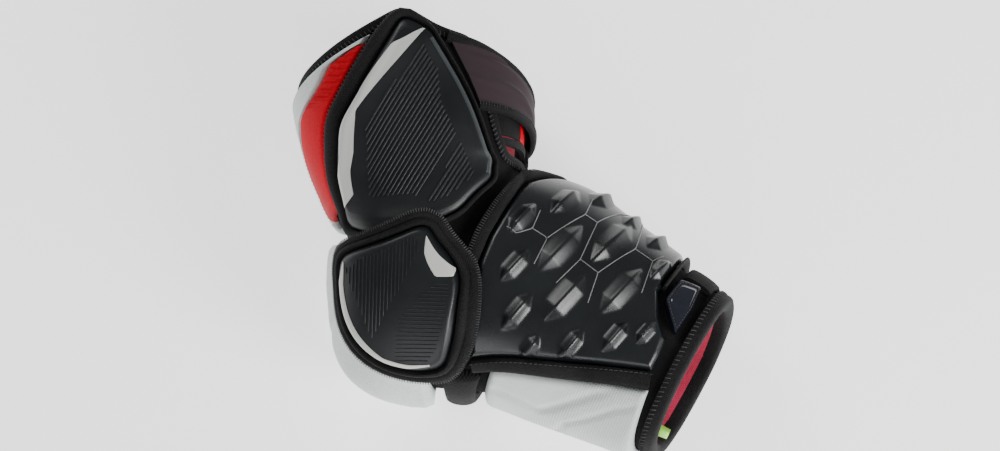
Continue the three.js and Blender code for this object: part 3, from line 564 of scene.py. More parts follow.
@dataclass(frozen=True)
class Woven(Finish):
    """Cloth or tape whose threads cross, read from the piece's own chart in millimetres."""

    thread: float = 1.3
    depth: float = 0.00025

    def threads(self, nodes: Nodes) -> bpy.types.NodeSocket:
        """The height of the crossing threads, from 0 to 1."""
        chart = nodes.add("ShaderNodeUVMap", uv_map="UVMap").outputs[0]
        split = nodes.add("ShaderNodeSeparateXYZ", {0: chart})
        turn = 2 * math.pi / self.thread
        across = nodes.math("SINE", nodes.math("MULTIPLY", split.outputs[0], turn))
        along = nodes.math("SINE", nodes.math("MULTIPLY", split.outputs[1], turn))
        return nodes.ramp(nodes.math("MULTIPLY", across, along), -1.0, 1.0)

    def dress(self, nodes: Nodes, shader: bpy.types.Node) -> None:
        """Crossing threads with painted highlight on their crowns, and soft patches of wear."""
        threads = self.threads(nodes)
        patches = self.cloud(nodes, 0.025)
        fuzz = self.cloud(nodes, 0.0012, 2.0)
        # The thread heights lighten the colour on the crowns as painted highlight. The fuzz and the patches are
        # random tone and wear.
        tone = nodes.math("ADD", nodes.math("MULTIPLY", threads, 0.55), nodes.math("MULTIPLY", fuzz, 0.8))
        wear_and_crown_highlight = nodes.ramp(nodes.math("ADD", tone, patches), 0.8, 1.6)
        nodes.tree.links.new(nodes.blend(wear_and_crown_highlight, rgba(self.colour), rgba(self.tint)), shader.inputs["Base Color"])
        height = nodes.math("ADD", threads, fuzz)
        bump = nodes.add("ShaderNodeBump", {"Strength": self.bump, "Distance": self.depth, "Height": height})
        nodes.tree.links.new(bump.outputs[0], shader.inputs["Normal"])


@dataclass(frozen=True)
class OpenMesh(Woven):
    """Dark open mesh over a coloured layer that shows through in places."""

    behind: tuple[float, float, float] = (0.085, 0.0015, 0.005)

    def dress(self, nodes: Nodes, shader: bpy.types.Node) -> None:
        """Grey threads over wine red, more of which shows in wide patches."""
        threads = self.threads(nodes)
        patches = nodes.ramp(self.cloud(nodes, 0.022, 2.0), 0.44, 0.58)
        fine = self.cloud(nodes, 0.002, 2.0)
        through = nodes.math("MULTIPLY", patches, nodes.ramp(nodes.math("ADD", threads, fine), 0.5, 1.4, 1.0, 0.3))
        cloth = nodes.blend(fine, rgba(self.colour), rgba(self.tint))
        nodes.tree.links.new(nodes.blend(through, cloth, rgba(self.behind)), shader.inputs["Base Color"])
        bump = nodes.add("ShaderNodeBump", {"Strength": self.bump, "Distance": self.depth, "Height": threads})
        nodes.tree.links.new(bump.outputs[0], shader.inputs["Normal"])


@dataclass(frozen=True)
class Perforated(Finish):
    """Coated foam with a patch of fine holes near one end."""

    patch_from: float = 262.0
    patch_to: float = 292.0

    def dress(self, nodes: Nodes, shader: bpy.types.Node) -> None:
        """Fine pores everywhere and a grid of pricked holes in the patch, painted darker as shade in them."""
        chart = nodes.add("ShaderNodeUVMap", uv_map="UVMap").outputs[0]
        split = nodes.add("ShaderNodeSeparateXYZ", {0: chart})
        holes = nodes.add("ShaderNodeTexVoronoi", {"Vector": chart, "Scale": 0.85, "Randomness": 0.15})
        slanted = nodes.math("ADD", split.outputs[1], nodes.math("MULTIPLY", split.outputs[0], 0.35))
        zone = nodes.math("MULTIPLY", nodes.ramp(slanted, self.patch_from + 45, self.patch_from + 55),
                          nodes.ramp(split.outputs[1], self.patch_to, self.patch_to - 4))
        prick = nodes.math("MULTIPLY", nodes.ramp(holes.outputs[0], 0.42, 0.2), zone)
        patches = self.cloud(nodes, 0.04)
        pores = self.cloud(nodes, 0.0011, 2.0)
        tone = nodes.ramp(nodes.math("ADD", patches, nodes.math("MULTIPLY", pores, 0.5)), 0.5, 1.0)
        base = nodes.blend(tone, rgba(self.colour), rgba(self.tint))
        # Painted shade: the pricked holes are coloured darker than the coating.
        hole_shade = tuple(0.72 * channel for channel in self.colour)
        nodes.tree.links.new(nodes.blend(prick, base, rgba(hole_shade)), shader.inputs["Base Color"])
        height = nodes.math("SUBTRACT", nodes.math("MULTIPLY", pores, 0.4), nodes.math("MULTIPLY", prick, 0.5))
        bump = nodes.add("ShaderNodeBump", {"Strength": self.bump, "Distance": 0.0004, "Height": height})
        nodes.tree.links.new(bump.outputs[0], shader.inputs["Normal"])


class Finishes:
    """Every finish of the pad."""

    SLEEVE = Woven("black_jersey", "sleeve_fabric", (0.003, 0.003, 0.0035), (0.011, 0.011, 0.012), 0.9,
                   gloss=0.15, sheen=0.02, bump=0.6, thread=1.1)
    TAPE = Woven("black_tape", "binding_tape", (0.0018, 0.0018, 0.002), (0.014, 0.014, 0.015), 0.8,
                 gloss=0.2, sheen=0.02, bump=1.0, thread=1.5)
    THREAD = Finish("grey_thread", "binding_tape", (0.022, 0.022, 0.024), (0.075, 0.075, 0.08), 0.7,
                    gloss=0.2)
    SHELL = Finish("moulded_black", "moulded_shell", (0.004, 0.0055, 0.0065), (0.008, 0.010, 0.0115), 0.36,
                   gloss=0.4, grain=2500, bump=0.25)
    GUARD = Finish("moulded_guard_black", "moulded_guard", (0.0035, 0.0048, 0.006), (0.008, 0.010, 0.0115), 0.28,
                   gloss=0.5, grain=2500, bump=0.2)
    # Lighter grey copy of the moulded black for the shield's lip: painted highlight on its bevel.
    LIP_PAINTED_HIGHLIGHT = Finish("moulded_lip_painted_highlight", "moulded_shell", (0.035, 0.040, 0.044), (0.055, 0.062, 0.066), 0.30, grain=2500,
                 bump=0.1)
    LINE = Finish("grey_line", "moulded_guard", (0.16, 0.17, 0.17), (0.24, 0.25, 0.25), 0.45)
    FILM = Finish("silver_film", "silver_film", (0.46, 0.47, 0.44), (0.62, 0.63, 0.60), 0.32, grain=1800, bump=0.1)
    RED = Finish("red_coated", "red_panel", (0.46, 0.0, 0.008), (0.62, 0.0, 0.014), 0.6, gloss=0.12, grain=900,
                 bump=0.25)
    WHITE = Perforated("white_coated", "white_panel", (0.50, 0.545, 0.53), (0.66, 0.70, 0.685), 0.5, bump=0.35)
    CUP = Finish("white_cup", "white_panel", (0.50, 0.55, 0.54), (0.66, 0.71, 0.70), 0.48, grain=900, bump=0.3)
    LINING = Woven("red_knit", "lining_knit", (0.36, 0.004, 0.03), (0.62, 0.02, 0.10), 0.85, sheen=0.4,
                   bump=0.7, thread=1.6)
    STRAP = OpenMesh("strap_mesh", "strap_mesh", (0.0025, 0.0028, 0.003), (0.010, 0.010, 0.010), 0.85, gloss=0.1,
                     bump=0.7, thread=1.3)
    NAVY = Finish("glossy_navy", "glossy_patch", (0.002, 0.003, 0.010), (0.006, 0.008, 0.018), 0.09, coat=0.6,
                  grain=400, bump=0.02)
    LIME = Finish("lime_rubber", "lime_tab", (0.30, 0.68, 0.06), (0.42, 0.86, 0.12), 0.45, grain=700, bump=0.2)


class PathTree:
    """A Geometry Nodes tree that works along the edges of a mesh."""

    name = "path"
    sizes: tuple[tuple[str, float], ...] = ()

    def __init__(self) -> None:
        """Builds the tree with its named inputs."""
        self.tree = bpy.data.node_groups.new(self.name, "GeometryNodeTree")
        face = self.tree.interface
        face.new_socket("Geometry", in_out="INPUT", socket_type="NodeSocketGeometry")
        face.new_socket("Geometry", in_out="OUTPUT", socket_type="NodeSocketGeometry")
        self.sockets = {}
        for label, value in self.sizes:
            socket = face.new_socket(label, in_out="INPUT", socket_type="NodeSocketFloat")
            socket.default_value = value
            self.sockets[label] = socket.identifier
        material = face.new_socket("Material", in_out="INPUT", socket_type="NodeSocketMaterial")
        self.sockets["Material"] = material.identifier
        nodes = Nodes(self.tree)
        start = nodes.add("NodeGroupInput")
        shape = self.shape(nodes, start)
        real = nodes.add("GeometryNodeRealizeInstances", {0: shape})
        coloured = nodes.add("GeometryNodeSetMaterial", {0: real.outputs[0], "Material": start.outputs["Material"]})
        nodes.add("NodeGroupOutput", {0: coloured.outputs[0]})

    def shape(self, nodes: Nodes, start: bpy.types.Node) -> bpy.types.NodeSocket:
        """The geometry that the tree makes, before its material."""
        raise NotImplementedError

    def run(self, name: str, lines: Sequence[np.ndarray], finish: Finish, outs: Sequence[np.ndarray],
            acrosses: Sequence[np.ndarray], **sizes: float) -> bpy.types.Object:
        """Runs the tree and keeps its result as a plain mesh.

        Args:
            name: the piece's name.
            lines: lines of points in millimetres.
            finish: what the result is made of.
            outs: the way out of the surface at each point.
            acrosses: the way across the line at each point.
            sizes: the tree's sizes in metres, by input name.

        Returns:
            The finished object.
        """
        mesh = bpy.data.meshes.new(name)
        edges, count = [], 0
        for line in lines:
            edges += [(count + i, count + i + 1) for i in range(len(line) - 1)]
            count += len(line)
        mesh.from_pydata(np.concatenate(lines) * MM, edges, [])
        for label, ways in (("out", outs), ("across", acrosses)):
            layer = mesh.attributes.new(label, "FLOAT_VECTOR", "POINT")
            layer.data.foreach_set("vector", np.concatenate(ways).astype(np.float32).ravel())
        seed = bpy.data.objects.new(name + "_path", mesh)
        bpy.context.scene.collection.objects.link(seed)
        modifier = seed.modifiers.new(self.name, "NODES")
        modifier.node_group = self.tree
        for label, value in sizes.items():
            modifier[self.sockets[label]] = value
        modifier[self.sockets["Material"]] = finish.made()
        depsgraph = bpy.context.evaluated_depsgraph_get()
        result = bpy.data.meshes.new_from_object(seed.evaluated_get(depsgraph), depsgraph=depsgraph)
        seed.modifiers.remove(modifier)
        bpy.data.objects.remove(seed)
        result.name = name
        result.polygons.foreach_set("use_smooth", np.ones(len(result.polygons), bool))
        piece = bpy.data.objects.new(name, result)
        bpy.context.scene.collection.objects.link(piece)
        return piece


class StitchTree(PathTree):
    """Short arched threads laid across a line, a pitch apart."""

    name = "stitches"
    sizes = (("Pitch", 0.002), ("Length", 0.003), ("Radius", 0.0003), ("Rise", 0.0004), ("Slant", 0.0))

    def shape(self, nodes: Nodes, start: bpy.types.Node) -> bpy.types.NodeSocket:
        """Threads on the resampled line, turned to lie on the surface."""
        curve = nodes.add("GeometryNodeMeshToCurve", {0: start.outputs[0]})
        even = nodes.add("GeometryNodeResampleCurve", {"Curve": curve.outputs[0], "Length": start.outputs["Pitch"]},
                         mode="LENGTH")
        half = nodes.math("MULTIPLY", start.outputs["Length"], 0.5)
        back = nodes.math("MULTIPLY", half, -1.0)
        slant = start.outputs["Slant"]
        ends = [nodes.add("ShaderNodeCombineXYZ", {0: x, 1: y}).outputs[0]
                for x, y in ((back, nodes.math("MULTIPLY", slant, -1.0)), (half, slant))]
        top = nodes.add("ShaderNodeCombineXYZ", {2: start.outputs["Rise"]}).outputs[0]
        arch = nodes.add("GeometryNodeCurveQuadraticBezier", {"Resolution": 4, "Start": ends[0], "Middle": top,
                                                              "End": ends[1]})
        ring = nodes.add("GeometryNodeCurvePrimitiveCircle", {"Resolution": 5, "Radius": start.outputs["Radius"]})
        thread = nodes.add("GeometryNodeCurveToMesh", {"Curve": arch.outputs[0], "Profile Curve": ring.outputs[0],
                                                       "Fill Caps": True})
        across = nodes.add("GeometryNodeInputNamedAttribute", {"Name": "across"}, data_type="FLOAT_VECTOR")
        out = nodes.add("GeometryNodeInputNamedAttribute", {"Name": "out"}, data_type="FLOAT_VECTOR")
        first = nodes.add("FunctionNodeAlignRotationToVector", {"Vector": across.outputs[0]}, axis="X")
        second = nodes.add("FunctionNodeAlignRotationToVector",
                           {"Rotation": first.outputs[0], "Vector": out.outputs[0]}, axis="Z", pivot_axis="X")
        laid = nodes.add("GeometryNodeInstanceOnPoints", {"Points": even.outputs[0], "Instance": thread.outputs[0],
                                                          "Rotation": second.outputs[0]})
        return laid.outputs[0]


class RibTree(PathTree):
    """Half-round ribs that follow their lines."""

    name = "ribs"
    sizes = (("Radius", 0.0005),)

    def shape(self, nodes: Nodes, start: bpy.types.Node) -> bpy.types.NodeSocket:
        """A round section swept along each line, with closed ends."""
        curve = nodes.add("GeometryNodeMeshToCurve", {0: start.outputs[0]})
        ring = nodes.add("GeometryNodeCurvePrimitiveCircle", {"Resolution": 6, "Radius": start.outputs["Radius"]})
        rib = nodes.add("GeometryNodeCurveToMesh", {"Curve": curve.outputs[0], "Profile Curve": ring.outputs[0],
                                                    "Fill Caps": True})
        return rib.outputs[0]


def inside(points: np.ndarray, polygon: np.ndarray) -> np.ndarray:
    """Whether points of a plane lie in a polygon, by the even-odd rule."""
    held = np.zeros(len(points), bool)
    for a, b in zip(polygon, np.roll(polygon, -1, 0)):
        crosses = (a[1] > points[:, 1]) != (b[1] > points[:, 1])
        at = a[0] + (points[:, 1] - a[1]) * (b[0] - a[0]) / (b[1] - a[1] + 1e-12)
        held ^= crosses & (points[:, 0] < at)
    return held


def hatched(plate: "Plate", corners: np.ndarray, angle: float, pitch: float, limit: float = 0.83,
            step: float = 1.5) -> list[np.ndarray]:
    """Lines on a plate that are parallel when seen from above.

    Args:
        plate: the plate.
        corners: spots of the corners of the field that they fill.
        angle: their direction in plan, in degrees from +X.
        pitch: their distance in millimetres.
        limit: how far out on the plate they may reach.
        step: the distance between their points in millimetres.

    Returns:
        A list of lines of spots.
    """
    arm, height = plate.maker.arm, max(plate.heights)
    plan = arm.lift(corners, height)[:, :2]
    ahead = np.array([math.cos(math.radians(angle)), math.sin(math.radians(angle))])
    side = np.array([-ahead[1], ahead[0]])
    centre = plan.mean(0)
    reach = np.linalg.norm(plan - centre, axis=1).max()
    at = np.arange(-reach, reach, step)
    lines = []
    for offset in np.arange(-reach, reach, pitch):
        points = centre + side * offset + ahead * at[:, None]
        points = points[inside(points, plan)]
        if len(points) > 2:
            spots = arm.below(points, corners.mean(0) + np.zeros((len(points), 2)), height)
            spots = spots[plate.share(spots) < limit]
        if len(points) > 2 and len(spots) > 2:
            lines.append(spots)
    return lines


@dataclass
class Maker:
    """What every sub-assembly works with: the arm's form and the trees."""

    arm: Arm
    stitches: StitchTree
    ribs: RibTree

    def dress(self, piece: bpy.types.Object, finish: Finish, *nodes: str,
              fill: Optional[float] = None) -> bpy.types.Object:
        """Gives a piece its finish and its place in the model.

        Args:
            piece: the object.
            finish: its finish.
            nodes: the solids that it stands for.
            fill: how full it is, where it is padded; not used.

        Returns:
            The same object.
        """
        piece.data.materials.clear()
        piece.data.materials.append(finish.made())
        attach(piece, BODY)
        if nodes:
            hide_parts(*nodes)
        LOG.info("%s: %d faces", piece.name, len(piece.data.polygons))
        return piece

    def seam(self, name: str, line: np.ndarray, height: Heights, pitch: float, length: float, loop: bool = False,
             radius: float = 0.32, rise: float = 0.5, turn: float = 0.0, slant: float = 0.0,
             finish: Finish = Finishes.THREAD) -> bpy.types.Object:
        """Stitches along a line of spots.

        Args:
            name: the piece's name.
            line: the line's spots.
            height: the height of the surface that they lie on.
            pitch: the distance between stitches.
            length: a stitch's length.
            loop: whether the line is closed.
            radius: the thread's radius.
            rise: how high a stitch arches.
            turn: 0 lays them across the line and 1 along it.
            slant: how far each end of a stitch leans along the line.
            finish: the thread's finish.

        Returns:
            The stitches as one object.
        """
        path = self.arm.even(line, 1.5, loop)
        if loop:
            low = int(self.arm.lift(path, height)[:, 2].argmin())
            path = np.roll(path, -low, 0)
            path = path[self.arm.lift(path, height)[:, 2] > 2.0]
        points = self.arm.lift(path, height)
        out = self.arm.ways(path)[2]
        ahead = unit(np.gradient(points, axis=0))
        across = unit(np.cross(out, ahead)) * (1 - turn) + ahead * turn
        piece = self.stitches.run(name, [points], finish, [out], [across], Pitch=pitch * MM, Length=length * MM,
                                  Radius=radius * MM, Rise=rise * MM, Slant=slant * MM)
        return self.dress(piece, finish)

    def ridge(self, name: str, lines: Sequence[np.ndarray], height: Heights, radius: float,
              finish: Finish) -> bpy.types.Object:
        """Raised lines on a surface.

        Args:
            name: the piece's name.
            lines: lines of spots.
            height: the height of their middle.
            radius: their radius.
            finish: their finish.

        Returns:
            The ridges as one object.
        """
        points = [self.arm.lift(line, height) for line in lines]
        outs = [self.arm.ways(line)[2] for line in lines]
        piece = self.ribs.run(name, points, finish, outs, outs, Radius=radius * MM)
        return self.dress(piece, finish)

    def bead(self, name: str, line: np.ndarray, section: np.ndarray, width: Union[float, np.ndarray],
             start: Union[float, np.ndarray] = 0.4, loop: bool = False) -> bpy.types.Object:
        """A band whose section runs beside a line.

        Args:
            name: the piece's name.
            line: the line's spots.
            section: rows of a share of the width and a height, going round the section.
            width: the band's width, one number or one for each spot.
            start: the distance of its near edge from the line.
            loop: whether the line is closed.

        Returns:
            The band.
        """
        spots = np.stack([self.arm.beside(line, start + np.asarray(width) * share, loop) for share, _ in section])
        points = np.stack([self.arm.lift(row, height) for row, (_, height) in zip(spots, section)])
        return swept(name, points, loop)


def roll(low: float, high: float, power: float = 2.6, count: int = 9, crown: float = 0.5,
         lip: float = 0.25) -> np.ndarray:
    """The section of a bound edge, with a rounded top.

    Args:
        low: the height of its flat underside.
        high: the height of its crown.
        power: how full it is.
        count: the points of its top.
        crown: the share of its width where the crown lies.
        lip: the share of its height that its edges have.

    Returns:
        Rows of a share of the width and a height.
    """
    shares = (1 - np.cos(np.linspace(0.0, math.pi, count))) / 2
    reach = np.where(shares < crown, (crown - shares) / crown, (shares - crown) / (1 - crown))
    height = low + (high - low) * (lip + (1 - lip) * (1 - reach**power) ** (1 / power))
    return np.array([*zip(shares, height), (0.96, low), (0.5, low), (0.04, low)])


@dataclass
class Plate:
    """A moulded plate inside an outline, with a profile from its middle to its edge."""

    maker: Maker
    edge: np.ndarray
    under: float
    shares: tuple[float, ...]
    heights: tuple[float, ...]
    relief: Optional[Callable[[np.ndarray], np.ndarray]] = None

    def __post_init__(self) -> None:
        """Works out the middle and how far the edge lies from it in each direction."""
        self.centre = self.edge[:, :2].mean(0)
        away = (self.edge[:, :2] - self.centre) * CHART
        angle = np.arctan2(away[:, 0], away[:, 1])
        order = np.argsort(angle)
        self.angles, self.reach = angle[order], np.linalg.norm(away, axis=1)[order]

    def share(self, spots: np.ndarray) -> np.ndarray:
        """How far out spots lie, 1 at the edge."""
        away = (spots - self.centre) * CHART
        angle = np.arctan2(away[..., 0], away[..., 1])
        return np.linalg.norm(away, axis=-1) / np.interp(angle, self.angles, self.reach, period=2 * math.pi)

    def height(self, spots: np.ndarray) -> np.ndarray:
        """The height of the plate's top at spots."""
        top = np.interp(self.share(spots), self.shares, self.heights)
        return top + self.relief(spots) if self.relief else top

    def made(self, name: str, rings: int = 26) -> bpy.types.Object:
        """The plate as a closed body."""
        shares = np.unique(np.concatenate([np.linspace(0.0, 1.0, rings), self.shares]))
        spots = self.centre + (self.edge[None, :, :2] - self.centre) * shares[:, None, None]
        tops = np.interp(shares, self.shares, self.heights)[:, None] + np.zeros(len(self.edge))
        tops = tops + (self.relief(spots) if self.relief else 0.0)
        top = self.maker.arm.face(spots) + self.maker.arm.ways(spots)[2] * tops[..., None]
        return slab(name, top, self.maker.arm.lift(spots, self.under), spots, loop=True, sharp=60)

    def inlay(self, name: str, rows: np.ndarray, limit: float, cells: int) -> None:
        """Builds a strip of silver film set into the plate.

        Args:
            name: the piece's name, which is its solid's too.
            rows: the strip's outer and inner edge.
            limit: how far out on the plate it may reach.
            cells: the rows of faces across it.
        """
        outer, inner = between_rows(rows, 60)
        held = np.minimum(1.0, limit / self.share(outer))[:, None]
        grid = ruled(self.centre + (outer - self.centre) * held, inner, cells)
        height, arm = self.height(grid), self.maker.arm
        top, under = arm.lift(grid, height + FILM_PROUD), arm.lift(grid, height - FILM_SUNK)
        self.maker.dress(slab(name, top, under, grid), Finishes.FILM, name)


RIM = table(
    (30, 0.02), (56, -0.10), (74, -0.25), (84, -0.40), (91, -0.455), (98, -0.41), (110, -0.33),
    (122, -0.25), (138, -0.15), (160, -0.05), (185, 0), (270, 0.02), (345, 0), (375, 0),
)
SLIT = table(
    (-0.12, 56, 346), (0.3, 52, 347), (0.7, 47.5, 348), (0.95, 42, 349), (1.08, 34, 356), (1.14, 25, 365),
)


@dataclass
class Sleeve:
    """The padded sleeve with its lining, its rolled hems and the pull tab inside the wrist."""

    maker: Maker
    hem_width: float = 6.5
    wrist_hem_width: float = 9.0
    wrist_hem_height: float = 3.0
    tucked: float = 3.2
    columns: float = 3.0
    cells: int = 76

    def __post_init__(self) -> None:
        """Draws the free edge: up the slit's near side, round the rim and down its far side."""
        stations = np.linspace(0.0, 1.14, 30)
        around = np.linspace(56.0, 346.0, 120)
        near = spot_list(stations, read(SLIT, 1, stations))[::-1]
        rim = spot_list(follow(RIM, 1, around), around)
        far = spot_list(stations, read(SLIT, 2, stations))
        bottom = spot_list(1.14, np.linspace(365.0, 385.0, 7)[1:-1])
        edge = np.concatenate([near, rim, far, bottom])
        self.edge = softened(self.maker.arm.even(edge, self.columns), 3)

    def build(self) -> None:
        """Builds every piece of the sleeve."""
        arm = self.maker.arm
        wrist = spot_list(0.0, self.edge[:, 1])
        wrist[:, 0] = arm.wrist_edge(self.edge[:, 1])
        upper = arm.beside(self.edge, self.tucked, loop=True)
        lower = wrist - np.array([self.tucked / arm.forearm_length, 0.0])
        grid = ruled(upper, lower, self.cells)
        self.maker.dress(slab("sleeve", arm.lift(grid, 0.0), arm.lift(grid, Layer.SLEEVE.value), grid, loop=True),
                         Finishes.SLEEVE, "sleeve", fill=0.7)
        outer, inner = arm.lift(grid, Layer.LINING.value), arm.lift(grid, Layer.INNER.value)
        self.maker.dress(slab("lining", outer, inner, grid, loop=True), Finishes.LINING, "lining")
        self.build_hems()
        self.build_tab()

    def hem_section(self, low: float, high: float) -> np.ndarray:
        """A hem's section: rolled over its free edge, flat against the sleeve inside and out."""
        turn = np.linspace(-0.5 * math.pi, 0.5 * math.pi, 9)
        middle, half = (low + high) / 2, (high - low) / 2
        rolled = [(0.32 * (1 - math.cos(a)), middle + half * math.sin(a)) for a in turn]
        return np.array([*rolled, (0.6, high), (0.95, high - 0.3), (1.0, high - 0.9), (1.0, low + 0.9),
                         (0.95, low + 0.3), (0.6, low)])

    def build_hems(self) -> None:
        """Builds the upper and the wrist hem with their overcast stitches."""
        arm, inner = self.maker.arm, Layer.INNER.value
        section = self.hem_section(inner - 0.3, 1.3)
        hem = self.maker.bead("sleeve_hem", self.edge, section, self.hem_width, start=0.0, loop=True)
        self.maker.dress(hem, Finishes.TAPE, "sleeve_hem")
        line = arm.beside(self.edge, self.hem_width * 0.86, loop=True)
        self.maker.seam("sleeve_hem_stitches", line, 1.3, 2.6, 2.6, loop=True, slant=0.4)
        around = np.linspace(360.0, 0.0, 150, endpoint=False)
        wrist = spot_list(arm.wrist_edge(around), around)
        section = self.hem_section(inner - 0.3, self.wrist_hem_height)
        hem = self.maker.bead("wrist_hem", wrist, section, self.wrist_hem_width, start=0.0, loop=True)
        self.maker.dress(hem, Finishes.TAPE, "wrist_hem")
        line = arm.beside(wrist, self.wrist_hem_width * 0.8, loop=True)
        self.maker.seam("wrist_hem_stitches", line, self.wrist_hem_height, 2.8, 2.8, loop=True, slant=0.5)

    def build_tab(self) -> None:
        """Builds the soft lime tab that hangs out of the lining at the wrist."""
        arm = self.maker.arm
        root, tip = np.linspace(149.0, 164.0, 13), np.linspace(150.0, 163.0, 13)
        spots = ruled(spot_list(2.86, root), spot_list(3.055, tip), 18)
        lobe = smooth(np.linspace(0.0, 1.0, 19) * 3)[:, None] * np.ones(13)
        edge = np.sin(np.linspace(0.0, math.pi, 13)) ** 0.35
        end = np.clip(np.linspace(1.0, 0.0, 19) * 5, 0.0, 1.0) ** 0.5
        thick = 1.1 + 1.3 * lobe * edge[None] * end[:, None]
        middle = Layer.INNER.value - 1.9
        top = arm.lift(spots, middle) + arm.ways(spots)[2] * thick[..., None]
        under = arm.lift(spots, middle) - arm.ways(spots)[2] * thick[..., None]
        self.maker.dress(slab("pull_tab", top, under, spots, sharp=70), Finishes.LIME, "pull_tab")


SHIELD = table(
    (-0.31, 88, 5.5), (-0.17, 78, 2.2), (0.25, 70, 2.2), (0.69, 62, 2.2), (1.19, 54, 2.6), (1.49, 58, 3),
    (1.60, 84, 3), (1.46, 120, 3), (1.27, 147, 6), (1.09, 140, 9), (0.57, 128, 9.5), (0.37, 118, 10),
    (-0.13, 98, 9), (-0.29, 92, 6.5),
)
RIB_FIELDS = (
    table((-0.02, 82), (0.25, 77.5), (0.53, 78), (0.84, 73), (1.32, 101), (1.19, 125), (0.69, 116), (0.51, 108)),
    table((0.93, 71), (1.46, 66), (1.55, 86), (1.39, 97)),
)
RIB_ANGLE = 58.0
CHEVRON = table((-0.17, 80, -0.16, 80), (-0.05, 97, 0.12, 96), (0.57, 127, 0.50, 118), (0.87, 132, 0.86, 124),
                (1.17, 141, 1.13, 132))


@dataclass
class BicepShield:
    """The moulded shield of the upper arm, with its ribs, silver inlay and bound edge."""

    maker: Maker
    rib_pitch: float = 2.3
    rib_radius: float = 0.62

    def __post_init__(self) -> None:
        """Draws the outline and the plate."""
        top = Layer.SHIELD.value
        self.edge = rounded(SHIELD, 7.0)
        self.plate = Plate(self.maker, self.edge, Layer.SEAT.value,
                           (0.0, 0.80, 0.84, 0.885, 0.93, 0.965, 0.985, 1.0),
                           (top - 0.6, top - 0.6, top - 0.3, top, top * 0.96, top * 0.86, top * 0.76, top * 0.6))

    def build(self) -> None:
        """Builds the plate, its ribs, inlay and binding."""
        maker, plate = self.maker, self.plate
        maker.dress(plate.made("bicep_shield"), Finishes.SHELL, "bicep_shield")
        lines = [line for corners in RIB_FIELDS for line in hatched(plate, corners, RIB_ANGLE, self.rib_pitch)]
        maker.ridge("bicep_shield_ribs", lines, lambda spots: plate.height(spots) + 0.15, self.rib_radius,
                    Finishes.SHELL)
        plate.inlay("bicep_chevron", CHEVRON, 0.955, 8)
        # A rounded lip along the shield's front edge. The ridge is real, and its lighter grey colour is painted
        # highlight on the bevel.
        front = self.edge[(self.edge[:, 1] < 78) & (self.edge[:, 0] > -0.12) & (self.edge[:, 0] < 1.47), :2]
        lip = plate.centre + (front - plate.centre) * 0.925
        maker.ridge("bicep_shield_lip_highlight", [lip[np.argsort(lip[:, 0])]], lambda spots: plate.height(spots) - 0.7, 1.5,
                    Finishes.LIP_PAINTED_HIGHLIGHT)
        section = roll(Layer.SEAT.value, Layer.BINDING.value + 0.9)
        maker.dress(maker.bead("bicep_shield_binding", self.edge[:, :2], section, self.edge[:, 2], loop=True),
                    Finishes.TAPE, "bicep_shield_binding")
        wide = self.edge[self.edge[:, 2] > 6.5]
        line = maker.arm.beside(wide[:, :2], 0.4 + wide[:, 2] * 0.86)
        maker.seam("bicep_shield_stitches", line, Layer.BINDING.value - 0.6, 2.4, 2.2, slant=0.3)


WING = table(
    (1.53, 101, 9), (1.79, 101, 9), (1.93, 105, 11), (1.99, 113, 13), (2.03, 123, 13), (2.05, 131, 12),
    (2.06, 142, 8), (1.98, 147, 6), (1.83, 149, 5.5), (1.61, 148, 7), (1.46, 146, 7), (1.43, 141, 7),
    (1.46, 128, 7), (1.50, 112, 8),
)
FLASH = table((1.60, 103.5), (1.68, 107.5), (1.82, 110.5), (1.905, 107.5), (1.895, 104.5))
CRESCENT = table((1.47, 140.5, 1.475, 140.2), (1.55, 146, 1.56, 142.5), (1.63, 147, 1.67, 143.6),
                 (1.74, 147, 1.76, 144.4), (1.83, 147, 1.83, 145.2), (1.92, 145.4, 1.915, 143.8),
                 (2.0, 141.8, 1.995, 141.2))
WING_FIELDS = (
    (table((1.50, 141), (1.52, 107), (1.64, 107), (1.72, 120), (1.77, 142)), 88.0),
    (table((1.83, 112), (1.94, 108), (2.03, 132), (1.99, 144), (1.87, 144), (1.80, 130)), -2.0),
)


